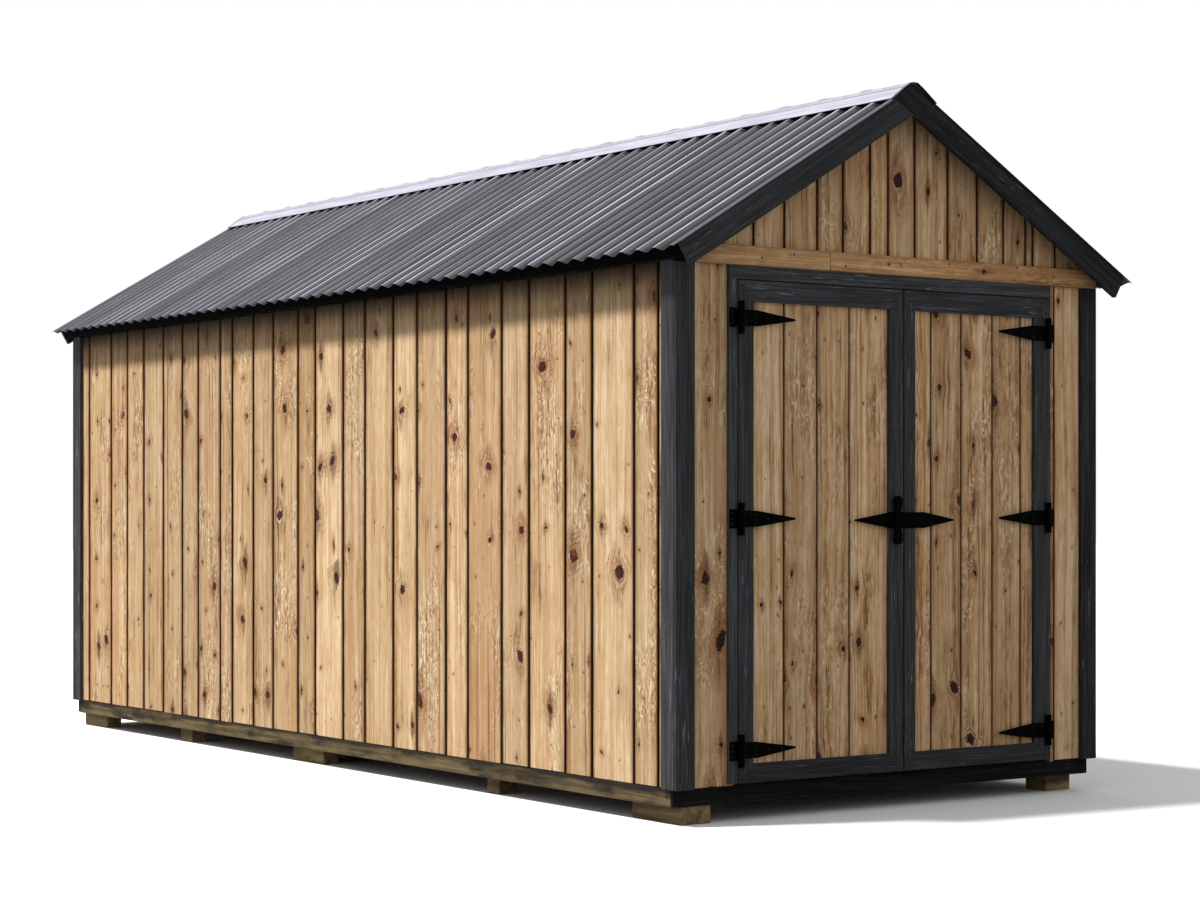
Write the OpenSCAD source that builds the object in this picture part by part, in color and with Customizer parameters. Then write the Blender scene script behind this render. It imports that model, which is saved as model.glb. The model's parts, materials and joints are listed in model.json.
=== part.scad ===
// Wooden garden shed with a pair of doors in the gable end, in millimetres.
// The origin is on the ground under the middle of the shed. Seen from the doors,
// +X points right, +Y points from the doors to the back wall and +Z up.

/* [Base] */
// Length over the corner trims
body_l = 6130; // [5400:10:7000]
// Height of the timber feet
foot_h = 76; // [50:1:120]
// Setback of the outer side of the left feet from the corner trims
foot_inset_left = 65; // [40:1:80]
// Setback of the outer side of the right feet from the corner trims
foot_inset_right = 52; // [40:1:80]
// Width of the two front feet
foot_w_front = 156; // [90:1:200]
// Width of the other feet
foot_w = 92; // [70:1:200]
// Distance from the front of the shed to the first foot on the left
foot_front_left = 54; // [30:1:150]
// Length of the first foot on the left
foot_front_left_l = 348; // [150:1:500]
// Distance from the front of the shed to the first foot on the right
foot_front_right = 120; // [40:1:150]
// Length of the first foot on the right
foot_front_right_l = 134; // [100:1:500]
// Distance from the front of the shed to the second feet
foot_second = 1448; // [900:1:1600]
// Length of the second feet
foot_second_l = 102; // [80:1:400]
// Distance from the middle of the shed to the front of the third feet
foot_middle = 46; // [0:1:200]
// Length of the third feet
foot_middle_l = 325; // [100:1:400]
// Distance from the back of the shed to the front of the fourth feet
foot_fourth = 1502; // [1200:1:1700]
// Length of the fourth feet
foot_fourth_l = 144; // [100:1:400]
// Distance from the back of the shed to the front of the last feet
foot_last = 358; // [300:1:500]
// Length of the last feet
foot_last_l = 321; // [100:1:340]
// Height of the long bearers
bearer_h = 75; // [60:1:120]
// Width of the long bearers
bearer_w = 100; // [60:1:150]
// Width of a floor joist
joist_w = 45; // [35:1:75]
// Number of floor joists
joist_count = 10; // [6:1:14]
// Thickness of the floor
floor_t = 22; // [18:1:30]
// Height of the skirt board under each gable end
skirt_h = 71; // [40:1:80]
// Thickness of a skirt board
skirt_t = 20; // [15:1:25]
// Setback of the skirt boards from the faces of the corner trims
skirt_inset = 44; // [30:1:60]
// Distance from each end of a skirt board to the side of the shed
skirt_end = 18; // [10:1:40]

/* [Walls] */
// Thickness of all charcoal trim boards
trim_t = 20; // [15:1:25]
// Thickness of the boarded walls
wall_t = 32; // [25:1:40]
// Width of the corner trims on the gable ends
corner_w_end = 98; // [60:1:120]
// Width of the corner trims on the long sides
corner_w_side = 108; // [60:1:120]
// Width and depth of a wall stud
stud_w = 45; // [38:1:60]
// Number of studs in each long wall
side_stud_count = 11; // [6:1:14]
// Number of studs in the back wall
back_stud_count = 5; // [3:1:6]
// Height of the beam across each gable
beam_h = 84; // [60:1:100]
// Drop of the undersides of the beams below the top of the side walls
beam_drop = 10; // [0:1:20]
// Thickness of the beam across each gable
beam_t = 24; // [22:1:40]

/* [Roof] */
// Slope of the roof in degrees
roof_pitch = 30.5; // [28:0.5:32]
// Rise of the crests of the sheets over the top of the side walls, at the sides of the shed
eave_rise = 98; // [96:1:110]
// Overhang of the sheets past the left side
eave_overhang_left = 95; // [70:1:150]
// Overhang of the sheets past the right side
eave_overhang_right = 130; // [70:1:150]
// Overhang of the sheets past the gable ends
gable_overhang = 104; // [90:1:140]
// Number of corrugations between the two gable edges
wave_count = 54; // [40:1:70]
// Depth of the corrugations from crest to trough
wave_depth = 18; // [12:1:24]
// Thickness of a roof sheet
sheet_t = 3; // [2:0.5:4]
// Width of each wing of the ridge cap, along the slope
cap_wing = 147; // [100:1:180]
// Width of the flat top of the ridge cap
cap_top_w = 32; // [20:1:40]
// Height of the flat top of the ridge cap above the ridge of the sheets
cap_top_h = 8; // [6:1:20]
// Distance between the two creases of the ridge cap
cap_crease_w = 104; // [60:1:140]
// Height of the creases above a straight wing
cap_crease_h = 3; // [0:1:6]
// Number of low humps along the ridge cap
hump_count = 21; // [10:1:24]
// Length of a hump
hump_l = 110; // [60:1:140]
// Height of a hump
hump_h = 9; // [6:1:16]
// Distance between the humps
hump_pitch = 286; // [240:1:290]
// Width of a purlin
purlin_w = 50; // [40:1:70]
// Height of a purlin
purlin_h = 28; // [20:1:32]
// Number of purlins on each slope
purlin_count = 4; // [3:1:6]
// Distance from the side of the shed to the lowest purlin
purlin_inset = 6; // [4:1:40]
// Distance from the ridge to the highest purlin, along the slope
purlin_ridge_gap = 75; // [60:1:120]
// Depth of a rafter
rafter_h = 45; // [38:1:60]
// Number of pairs of rafters
rafter_count = 11; // [6:1:14]
// Depth of the notch of a rafter over the wall plate
rafter_notch = 15; // [8:1:20]
// Thickness of the ridge board
ridge_board_t = 25; // [18:1:40]
// Depth of the ridge board
ridge_board_h = 140; // [100:1:160]
// Depth of the bargeboards
barge_h = 110; // [80:1:130]
// Thickness of the bargeboards
barge_t = 24; // [18:1:30]
// Setback of the bargeboards from the gable edge of the sheets
barge_setback = 8; // [4:1:14]
// Distance from the lower end of a bargeboard to the edge of the sheets, along the slope
barge_foot = 48; // [40:1:70]
// Thickness of the fascia boards under the eaves
fascia_t = 24; // [18:1:30]

/* [Doors] */
// Distance from the left side of the shed to the left leaf
margin_left = 325; // [280:1:400]
// Width of the left leaf
leaf_w_left = 918; // [800:1:1000]
// Width of the right leaf
leaf_w_right = 888; // [800:1:1000]
// Distance from the right leaf to the right side of the shed
margin_right = 301; // [260:1:400]
// Gap between the two leaves
leaf_gap = 8; // [8:1:12]
// Gap between a leaf and the pieces round the doorway
leaf_clearance = 5; // [5:1:8]
// Rise of the underside of the leaves over the bearers
leaf_lift = 11; // [8:1:16]
// Height of a leaf
leaf_h = 2112; // [1850:1:2350]
// Height of the header over the leaves
header_h = 57; // [45:1:90]
// Thickness of the boards of a leaf
leaf_board_t = 20; // [15:1:25]
// Width of the hinge stile of the left leaf
hinge_stile_left = 82; // [70:1:110]
// Width of the hinge stile of the right leaf
hinge_stile_right = 97; // [70:1:110]
// Width of the meeting stile of the left leaf
meeting_stile_left = 79; // [50:1:110]
// Width of the meeting stile of the right leaf
meeting_stile_right = 64; // [50:1:110]
// Height of the top rail of a leaf
top_rail_h = 88; // [60:1:120]
// Height of the bottom rail of a leaf
bottom_rail_h = 81; // [60:1:120]
// Width of the charcoal trim on the left of the doorway
jamb_w_left = 43; // [40:1:60]
// Width of the strip on the right of the doorway
jamb_w_right = 16; // [12:1:60]

/* [Ironwork] */
// Distance from the edge of the left leaf to its hinge pins
pin_inset_left = 6; // [4:1:25]
// Distance from the edge of the right leaf to its hinge pins
pin_inset_right = 22; // [4:1:25]
// Radius of the hinge knuckles
knuckle_r = 14; // [10:1:18]
// Radius of the hinge pins
pin_r = 5; // [4:0.5:6]
// Play between a pin and its knuckle
pin_play = 0.3; // [0.2:0.1:0.5]
// Height of a hinge over its knuckles
hinge_h = 138; // [110:1:150]
// Height of the moving knuckle
strap_knuckle_h = 56; // [40:1:70]
// Height of a hinge plate on the jamb
plate_h = 80; // [60:1:90]
// Thickness of the hinge plates and straps
iron_t = 4; // [3:0.5:6]
// Height of a strap at its root
strap_h = 68; // [50:1:80]
// Length of the parallel part of a strap
strap_root_l = 92; // [60:1:120]
// Length of a strap from the pin to its tip
strap_l = 300; // [240:1:340]
// Distance from the top of a leaf down to its top hinge
hinge_top_drop = 158; // [80:1:300]
// Distance from the underside of a leaf up to its middle hinge
hinge_middle_rise = 1110; // [800:1:1300]
// Distance from the underside of a leaf up to its bottom hinge
hinge_bottom_rise = 138; // [75:1:300]
// Distance from the underside of a leaf up to the latch
latch_rise = 1102; // [800:1:1300]
// Height of the latch plates
latch_plate_h = 70; // [50:1:80]
// Length of the left latch plate
latch_l_left = 282; // [200:1:320]
// Length of the right latch plate
latch_l_right = 288; // [200:1:320]
// Height of the latch handle
handle_h = 212; // [150:1:240]
// Width of the latch handle
handle_w = 44; // [30:1:50]

/* [Hidden] */
$fn = 48;

// Gap left between pieces that rest on each other on a slope or end to end
seat = 0.3;
// Overshoot of a cut past the piece it is cut from
over = 1;

// Colours
natural = [0.72, 0.56, 0.38];
charcoal = [0.16, 0.17, 0.19];
treated = [0.36, 0.32, 0.20];
framing = [0.78, 0.66, 0.48];
sheet_grey = [0.35, 0.34, 0.38];
cap_silver = [0.83, 0.81, 0.89];
iron = [0.03, 0.03, 0.03];

// The four sides of the shed
body_w = margin_left + leaf_w_left + leaf_gap + leaf_w_right + margin_right;
left_x = -body_w / 2;
right_x = body_w / 2;
front_y = -body_l / 2;
back_y = body_l / 2;

// Depths of the layers of a wall, counted inwards from the face of the trims
board_face = trim_t;
wall_back_face = trim_t + wall_t;
frame_back_face = wall_back_face + stud_w;

// Levels
base_top = foot_h + bearer_h;
floor_top = base_top + floor_t;
leaf_z = base_top + leaf_lift;
leaf_top = leaf_z + leaf_h;
head_z = leaf_top + leaf_clearance;
beam_foot = head_z + header_h;
beam_z = beam_foot + beam_drop;
eave_h = beam_z + eave_rise;
latch_z = leaf_z + latch_rise;
skirt_z = base_top - skirt_h - seat;

// Feet along each side: the place of the front of each foot, and its length. The first two
// are set out from the front of the shed, the third from its middle and the rest from its back.
feet_plan_middle = [[front_y + foot_second, foot_second_l], [foot_middle, foot_middle_l],
    [back_y - foot_fourth, foot_fourth_l], [back_y - foot_last, foot_last_l]];
foot_plan_left = [[front_y + foot_front_left, foot_front_left_l]];
foot_plan_right = [[front_y + foot_front_right, foot_front_right_l]];

// The doorway
left_leaf_x = left_x + margin_left;
left_leaf_end = left_leaf_x + leaf_w_left;
right_leaf_x = left_leaf_end + leaf_gap;
right_leaf_end = right_leaf_x + leaf_w_right;
door_left_x = left_leaf_x - leaf_clearance;
door_right_x = right_leaf_end + leaf_clearance;
stop_cover = 15;

// The roof. Depths on a slope are square to it, counted down from the crests.
rise = tan(roof_pitch);
slope_l = body_w / 2 / cos(roof_pitch);
apex_z = eave_h + body_w / 2 * rise;
eave_l_left = eave_overhang_left / cos(roof_pitch);
eave_l_right = eave_overhang_right / cos(roof_pitch);
purlin_d = wave_depth + sheet_t + seat;
rafter_d = purlin_d + purlin_h;
ridge_gap = 15;
sheet_start = front_y - gable_overhang;
sheet_end = back_y + gable_overhang;
barge_y = sheet_start + barge_setback;
crest_y = barge_y + barge_t / 2;
rail_y = barge_y + barge_t + seat;
wave_l = -2 * crest_y / wave_count;
wave_steps = 8;
barge_d = sheet_t + wave_depth / 2 * (1 - cos(360 / wave_steps)) + seat;
plate_x = body_w / 2 - wall_back_face;
plate_top = under(rafter_d + rafter_h, plate_x) + rafter_notch;
stud_z = floor_top + stud_w + seat;
stud_top = plate_top - stud_w - seat;

// Upper ends of the bargeboards: one runs through at the ridge, the other butts under it
barge_low = barge_d + barge_h;
lap_x = barge_h / (2 * sin(roof_pitch));
butt_x = (barge_h + seat) / (2 * sin(roof_pitch));
barge_through = [[0, under(barge_d, 0)], [lap_x, under(barge_low, -lap_x)]];
barge_butt = [[-butt_x, under(barge_d, butt_x)], [lap_x - butt_x, under(barge_low, butt_x - lap_x)]];

// Ironwork
knuckle_play = 0.5;
pin_y = front_y - knuckle_r;
left_pin_x = left_leaf_x + pin_inset_left;
right_pin_x = right_leaf_end - pin_inset_right;
hinge_levels = [leaf_top - hinge_top_drop, leaf_z + hinge_middle_rise, leaf_z + hinge_bottom_rise];

// Height of a plane at depth d below the crests, at distance x from the ridge
function under(d, x) = apex_z - x * rise - d / cos(roof_pitch);

// Point at distance u up the left slope and depth d below the crests
function slope_point(u, d) = [left_x + u * cos(roof_pitch) + d * sin(roof_pitch),
    eave_h + u * sin(roof_pitch) - d * cos(roof_pitch)];

// Depth of the corrugated surface below the crests at distance y along the shed
function wave(y) = wave_depth / 2 * (cos(360 * (y - crest_y) / wave_l) - 1);

// A box between two opposite corners
module box(a, b) {
    translate(a) cube(b - a);
}

// Mirrors the children to the right side of the shed
module on_right() {
    mirror([1, 0, 0]) children();
}

// Mirrors the children to the back of the shed
module on_back() {
    mirror([0, 1, 0]) children();
}

// Shows the children on both sides of the shed
module both_sides() {
    children();
    on_right() children();
}

// Extrudes an outline drawn in X and Z from y0 to y1
module extrude_y(y0, y1) {
    translate([0, y1, 0]) rotate([90, 0, 0]) linear_extrude(y1 - y0) children();
}

// The frame of the left slope: X runs up the slope from the side of the shed, Z is square to it
module on_slope() {
    translate([left_x, 0, eave_h]) rotate([0, -roof_pitch, 0]) children();
}

// A row of feet between x0 and x1
module feet_row(plan, x0, x1) {
    for (foot = plan) box([x0, foot[0], 0], [x1, foot[0] + foot[1], foot_h]);
}

module feet() {
    foot_x = left_x + foot_inset_left;
    foot_end = right_x - foot_inset_right;
    color(treated) {
        feet_row(foot_plan_left, foot_x, foot_x + foot_w_front);
        feet_row(foot_plan_right, foot_end - foot_w_front, foot_end);
        feet_row(feet_plan_middle, foot_x, foot_x + foot_w);
        feet_row(feet_plan_middle, foot_end - foot_w, foot_end);
    }
}

module bearer() {
    start = front_y + skirt_inset + skirt_t;
    box([left_x + trim_t, start, foot_h], [left_x + trim_t + bearer_w, -start, base_top]);
}

module bearers() {
    color(treated) both_sides() bearer();
}

module joists() {
    inner_x = left_x + trim_t + bearer_w;
    start = front_y + skirt_inset + skirt_t;
    step = (-2 * start - joist_w) / (joist_count - 1);
    color(treated) for (i = [0 : joist_count - 1])
        box([inner_x, start + i * step, foot_h], [-inner_x, start + i * step + joist_w, base_top]);
}

module floor_boards() {
    edge = wall_back_face;
    color(framing) box([left_x + edge, front_y + edge, base_top], [right_x - edge, back_y - edge, floor_top]);
}

module skirt() {
    color(charcoal) box([left_x + skirt_end, front_y + skirt_inset, skirt_z],
        [right_x - skirt_end, front_y + skirt_inset + skirt_t, skirt_z + skirt_h]);
}

module wall_side() {
    color(natural) box([left_x + board_face, front_y + board_face, base_top],
        [left_x + wall_back_face, back_y - board_face, beam_z]);
}

module wall_end(x0, x1) {
    color(natural) box([x0, front_y + board_face, base_top], [x1, front_y + wall_back_face, head_z]);
}

module gable() {
    edge = right_x - wall_back_face;
    color(natural) extrude_y(front_y + board_face, front_y + wall_back_face)
        polygon([[-edge, head_z], [edge, head_z], [edge, under(rafter_d, edge)],
            [0, under(rafter_d, 0)], [-edge, under(rafter_d, edge)]]);
}

// Studs and plates of one long wall
module frame_side() {
    x0 = left_x + wall_back_face;
    x1 = left_x + frame_back_face;
    start = front_y + wall_back_face;
    step = (-2 * start - stud_w) / (side_stud_count - 1);
    color(framing) {
        box([x0, start, floor_top], [x1, -start, floor_top + stud_w]);
        box([x0, start, plate_top - stud_w], [x1, -start, plate_top]);
        for (i = [0 : side_stud_count - 1])
            box([x0, start + i * step, stud_z], [x1, start + i * step + stud_w, stud_top]);
    }
}

// Studs and plates round the doorway
module frame_front() {
    y0 = front_y + wall_back_face;
    y1 = y0 + stud_w;
    edge = right_x - frame_back_face;
    left_stud = door_left_x + stop_cover + leaf_clearance;
    right_stud = door_right_x - stop_cover - leaf_clearance;
    lintel_z = leaf_top - stop_cover;
    color(framing) {
        box([-edge, y0, lintel_z], [edge, y1, plate_top]);
        for (x = [-edge, left_stud - stud_w, right_stud, edge - stud_w])
            box([x, y0, floor_top], [x + stud_w, y1, lintel_z - seat]);
    }
}

// Studs and plates of the back wall
module frame_back() {
    y1 = back_y - wall_back_face;
    y0 = y1 - stud_w;
    edge = right_x - frame_back_face;
    step = (2 * edge - stud_w) / (back_stud_count - 1);
    color(framing) {
        box([-edge, y0, plate_top - stud_w], [edge, y1, plate_top]);
        box([-edge, y0, floor_top], [edge, y1, floor_top + stud_w]);
        for (i = [0 : back_stud_count - 1])
            box([-edge + i * step, y0, stud_z], [-edge + i * step + stud_w, y1, stud_top]);
    }
}

// Angle trim on the front left corner
module corner() {
    color(charcoal) union() {
        box([left_x, front_y, base_top], [left_x + corner_w_end, front_y + trim_t, beam_foot]);
        box([left_x, front_y, base_top], [left_x + trim_t, front_y + corner_w_side, beam_foot]);
        box([left_x, front_y + trim_t + seat, base_top], [left_x + trim_t, front_y + corner_w_side, beam_z]);
    }
}

// Beam across the gable, with its ends cut to the slope under the purlins
module beam() {
    top = beam_foot + beam_h;
    top_x = (apex_z - rafter_d / cos(roof_pitch) - top) / rise;
    end_top = under(rafter_d, right_x);
    color(natural) extrude_y(front_y + trim_t - beam_t, front_y + trim_t)
        polygon([[left_x, beam_foot], [right_x, beam_foot], [right_x, end_top], [top_x, top], [-top_x, top],
            [left_x, end_top]]);
}

module door_header() {
    color(charcoal) box([door_left_x - jamb_w_left, front_y, head_z], [door_right_x, front_y + trim_t, beam_foot]);
}

module jamb_left() {
    color(charcoal) box([door_left_x - jamb_w_left, front_y, leaf_z], [door_left_x, front_y + trim_t, head_z]);
}

module jamb_right() {
    color(natural) box([door_right_x, front_y, base_top],
        [door_right_x + jamb_w_right, front_y + trim_t, beam_foot]);
}

module leaf_boards(x0, w) {
    color(natural) box([x0, front_y + trim_t, leaf_z], [x0 + w, front_y + trim_t + leaf_board_t, leaf_top]);
}

// Charcoal frame on the face of a leaf, with its left and right stiles
module leaf_frame(x0, w, stile_l, stile_r) {
    color(charcoal) difference() {
        box([x0, front_y, leaf_z], [x0 + w, front_y + trim_t, leaf_top]);
        box([x0 + stile_l, front_y - over, leaf_z + bottom_rail_h],
            [x0 + w - stile_r, front_y + trim_t + over, leaf_top - top_rail_h]);
    }
}

// Fixed part of a hinge at its pin: a plate on the jamb, two knuckles and the pin
module hinge_plate(reach, jamb_w) {
    rib = 5;
    web_t = 8;
    fixed_h = (hinge_h - strap_knuckle_h) / 2 - knuckle_play;
    color(iron) union() {
        difference() {
            union() {
                box([-reach - jamb_w, knuckle_r - iron_t, -plate_h / 2], [-reach, knuckle_r, plate_h / 2]);
                box([-reach - rib, -web_t / 2, -plate_h / 2], [-reach, knuckle_r, plate_h / 2]);
                box([-reach - rib, -web_t / 2, -plate_h / 2], [0, web_t / 2, plate_h / 2]);
            }
            cylinder(h = strap_knuckle_h + 2 * knuckle_play, r = knuckle_r + over, center = true);
        }
        for (side = [-1, 1])
            translate([0, 0, side * (hinge_h - fixed_h) / 2])
                cylinder(h = fixed_h, r = knuckle_r, center = true);
        cylinder(h = hinge_h, r = pin_r, center = true);
    }
}

// Moving part of a hinge at its pin: a bored knuckle and a tapering strap
module hinge_strap() {
    tip_h = 8;
    color(iron) difference() {
        union() {
            cylinder(h = strap_knuckle_h, r = knuckle_r, center = true);
            difference() {
                translate([0, knuckle_r, 0]) rotate([90, 0, 0]) linear_extrude(iron_t)
                    polygon([[0, -strap_h / 2], [strap_root_l, -strap_h / 2], [strap_l, -tip_h / 2],
                        [strap_l, tip_h / 2], [strap_root_l, strap_h / 2], [0, strap_h / 2]]);
                for (side = [-1, 1])
                    translate([0, 0, side * (strap_knuckle_h + hinge_h) / 2])
                        cylinder(h = hinge_h, r = knuckle_r + over, center = true);
            }
        }
        cylinder(h = hinge_h, r = pin_r + pin_play, center = true);
    }
}

module hinge_plates_left() {
    for (z = hinge_levels)
        translate([left_pin_x, pin_y, z]) hinge_plate(pin_inset_left + leaf_clearance, jamb_w_left);
}

module hinge_plates_right() {
    for (z = hinge_levels)
        translate([right_pin_x, pin_y, z]) on_right()
            hinge_plate(pin_inset_right + leaf_clearance, jamb_w_right);
}

module hinge_straps_left() {
    for (z = hinge_levels) translate([left_pin_x, pin_y, z]) hinge_strap();
}

module hinge_straps_right() {
    for (z = hinge_levels) translate([right_pin_x, pin_y, z]) on_right() hinge_strap();
}

// Spear plate of the latch, pointing to -X from x = 0, l long
module latch_plate(l, root_l) {
    tip_h = 6;
    rotate([90, 0, 0]) linear_extrude(iron_t)
        polygon([[0, -latch_plate_h / 2], [0, latch_plate_h / 2], [-root_l, latch_plate_h / 2],
            [-l, tip_h / 2], [-l, -tip_h / 2], [-root_l, -latch_plate_h / 2]]);
}

// Waisted pull of the latch, standing upright
module latch_handle(t) {
    waist_w = 30;
    end_l = 40;
    taper_l = 22;
    side = [[handle_w / 2, -handle_h / 2 + handle_w / 4], [handle_w / 2, -handle_h / 2 + end_l],
        [waist_w / 2, -handle_h / 2 + end_l + taper_l], [waist_w / 2, handle_h / 2 - end_l - taper_l],
        [handle_w / 2, handle_h / 2 - end_l], [handle_w / 2, handle_h / 2 - handle_w / 4],
        [handle_w / 4, handle_h / 2], [-handle_w / 4, handle_h / 2]];
    rotate([90, 0, 0]) linear_extrude(t) polygon(concat(side, [for (p = side) -p]));
}

// Body of the latch with upright ribs, l long in -X
module latch_body(l, t) {
    rib_w = 6;
    rib_h = latch_plate_h - 16;
    rib_count = 5;
    step = (l - rib_w) / rib_count;
    box([-l, -t, -latch_plate_h / 2], [0, 0, latch_plate_h / 2]);
    for (i = [0 : rib_count - 1])
        translate([(i - rib_count) * step, -t, 0]) cylinder(h = rib_h, d = rib_w, center = true);
}

module latch_left() {
    body_l = 66;
    body_t = 18;
    handle_t = 12;
    handle_x = -51;
    root_l = 78;
    color(iron) translate([left_leaf_end - over, front_y, latch_z]) union() {
        latch_plate(latch_l_left, root_l);
        latch_body(body_l, body_t);
        translate([handle_x, -body_t, 0]) latch_handle(handle_t);
    }
}

module latch_right() {
    keeper_l = 24;
    keeper_t = 18;
    keeper_h = 50;
    root_l = 110;
    color(iron) translate([right_leaf_x + over, front_y, latch_z]) union() {
        on_right() latch_plate(latch_l_right, root_l);
        box([0, -keeper_t, -keeper_h / 2], [keeper_l, 0, keeper_h / 2]);
    }
}

// One rafter of the left slope, from the ridge board to the fascia
module rafter() {
    ridge_x = -ridge_board_t / 2 - seat;
    far = rafter_d + rafter_h;
    difference() {
        extrude_y(0, stud_w)
            polygon([[left_x, under(rafter_d, -left_x)], [ridge_x, under(rafter_d, -ridge_x)],
                [ridge_x, under(far, -ridge_x)], [left_x, under(far, -left_x)]]);
        box([left_x + wall_back_face, -over, plate_top - stud_w],
            [left_x + frame_back_face, stud_w + over, plate_top]);
        box([left_x - over, -over, 0], [left_x + wall_back_face, stud_w + over, beam_z + seat]);
    }
}

module roof_frame() {
    start = front_y + wall_back_face;
    step = (-2 * start - stud_w) / (rafter_count - 1);
    ridge_top = under(rafter_d, ridge_board_t / 2);
    color(framing) {
        for (i = [0 : rafter_count - 1])
            translate([0, start + i * step, 0]) both_sides() rafter();
        box([-ridge_board_t / 2, start, ridge_top - ridge_board_h], [ridge_board_t / 2, -start, ridge_top]);
    }
}

module purlins() {
    low = purlin_inset / cos(roof_pitch);
    high = slope_l - purlin_ridge_gap;
    step = (high - low - purlin_w) / (purlin_count - 1);
    color(framing) both_sides() on_slope() for (i = [0 : purlin_count - 1])
        box([low + i * step, rail_y, seat - rafter_d], [low + i * step + purlin_w, -rail_y, -purlin_d]);
}

module fascias() {
    top = under(purlin_d, body_w / 2 + fascia_t);
    color(charcoal) both_sides() box([left_x - fascia_t, rail_y, beam_z], [left_x, -rail_y, top]);
}

// Bargeboard on the left slope, where the sheets end eave_l below the side of the shed.
// The two corners of its upper end are given.
module barge(upper, eave_l) {
    foot_top = slope_point(barge_foot - eave_l, barge_d);
    foot_low = slope_point(barge_foot - eave_l, barge_low);
    color(charcoal) extrude_y(barge_y, barge_y + barge_t) polygon([foot_top, upper[0], upper[1], foot_low]);
}

// Corrugated sheet on the left slope, ending eave_l below the side of the shed
module roof_sheet(eave_l) {
    steps = wave_count * wave_steps;
    ys = [for (i = [0 : steps]) crest_y + i * wave_l / wave_steps];
    line = concat([sheet_start], ys, [sheet_end]);
    color(sheet_grey) on_slope() translate([-eave_l, 0, 0]) rotate([90, 0, 90])
        linear_extrude(eave_l + slope_l - ridge_gap)
        polygon(concat([for (y = line) [y, wave(y)]],
            [for (i = [len(line) - 1 : -1 : 0]) [line[i], wave(line[i]) - sheet_t]]));
}

// Low hump across the top of the ridge cap
module hump() {
    r = (hump_l * hump_l / 4 + hump_h * hump_h) / (2 * hump_h);
    intersection() {
        translate([-cap_top_w / 2, 0, hump_h - r]) rotate([0, 90, 0]) cylinder(h = cap_top_w, r = r);
        box([-cap_top_w, -hump_l, -over], [cap_top_w, hump_l, hump_h + over]);
    }
}

module ridge_cap() {
    wing_x = cap_wing * cos(roof_pitch);
    wing_z = under(-seat, wing_x);
    top_x = cap_top_w / 2;
    top = apex_z + cap_top_h;
    crease_x = cap_crease_w / 2;
    crease = top - (crease_x - top_x) * (top - wing_z - sheet_t) / (wing_x - top_x) + cap_crease_h;
    half_out = [[-wing_x, wing_z + sheet_t], [-crease_x, crease], [-top_x, top]];
    half_in = [[-top_x, top - sheet_t], [-crease_x, crease - sheet_t], [-wing_x, wing_z]];
    first = -(hump_count - 1) * hump_pitch / 2;
    color(cap_silver) union() {
        extrude_y(sheet_start, sheet_end)
            polygon(concat(half_out, [for (i = [2 : -1 : 0]) [-half_out[i][0], half_out[i][1]]],
                [for (i = [2 : -1 : 0]) [-half_in[i][0], half_in[i][1]]], half_in));
        for (i = [0 : hump_count - 1]) translate([0, first + i * hump_pitch, top]) hump();
    }
}

feet();
bearers();
joists();
floor_boards();  // floor
skirt();  // skirt_front
on_back() skirt();  // skirt_back
wall_side();  // wall_left
on_right() wall_side();  // wall_right
on_back() wall_end(left_x + wall_back_face, right_x - wall_back_face);  // wall_back
wall_end(left_x + wall_back_face, door_left_x);  // wall_front_left
wall_end(door_right_x, right_x - wall_back_face);  // wall_front_right
gable();  // gable_front
on_back() gable();  // gable_back
frame_side();  // frame_left
on_right() frame_side();  // frame_right
frame_front();
frame_back();
corner();  // corner_front_left
on_right() corner();  // corner_front_right
on_back() corner();  // corner_back_left
on_back() on_right() corner();  // corner_back_right
beam();  // beam_front
on_back() beam();  // beam_back
door_header();
jamb_left();
jamb_right();
leaf_boards(left_leaf_x, leaf_w_left);  // door_left_boards
leaf_frame(left_leaf_x, leaf_w_left, hinge_stile_left, meeting_stile_left);  // door_left_frame
leaf_boards(right_leaf_x, leaf_w_right);  // door_right_boards
leaf_frame(right_leaf_x, leaf_w_right, meeting_stile_right, hinge_stile_right);  // door_right_frame
hinge_plates_left();
hinge_plates_right();
hinge_straps_left();
hinge_straps_right();
latch_left();
latch_right();
roof_frame();
purlins();
fascias();
barge(barge_butt, eave_l_left);  // barge_front_left
on_right() barge(barge_through, eave_l_right);  // barge_front_right
on_back() {  // barges_back
    barge(barge_butt, eave_l_left);
    on_right() barge(barge_through, eave_l_right);
}
roof_sheet(eave_l_left);  // roof_sheet_left
on_right() roof_sheet(eave_l_right);  // roof_sheet_right
ridge_cap();
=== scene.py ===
"""Timber garden shed with a pair of boarded doors and a corrugated roof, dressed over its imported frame."""

import json
import logging
import math
import random
from dataclasses import dataclass
from enum import Enum

import bmesh
import bpy
from mathutils import Matrix, Vector


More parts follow.
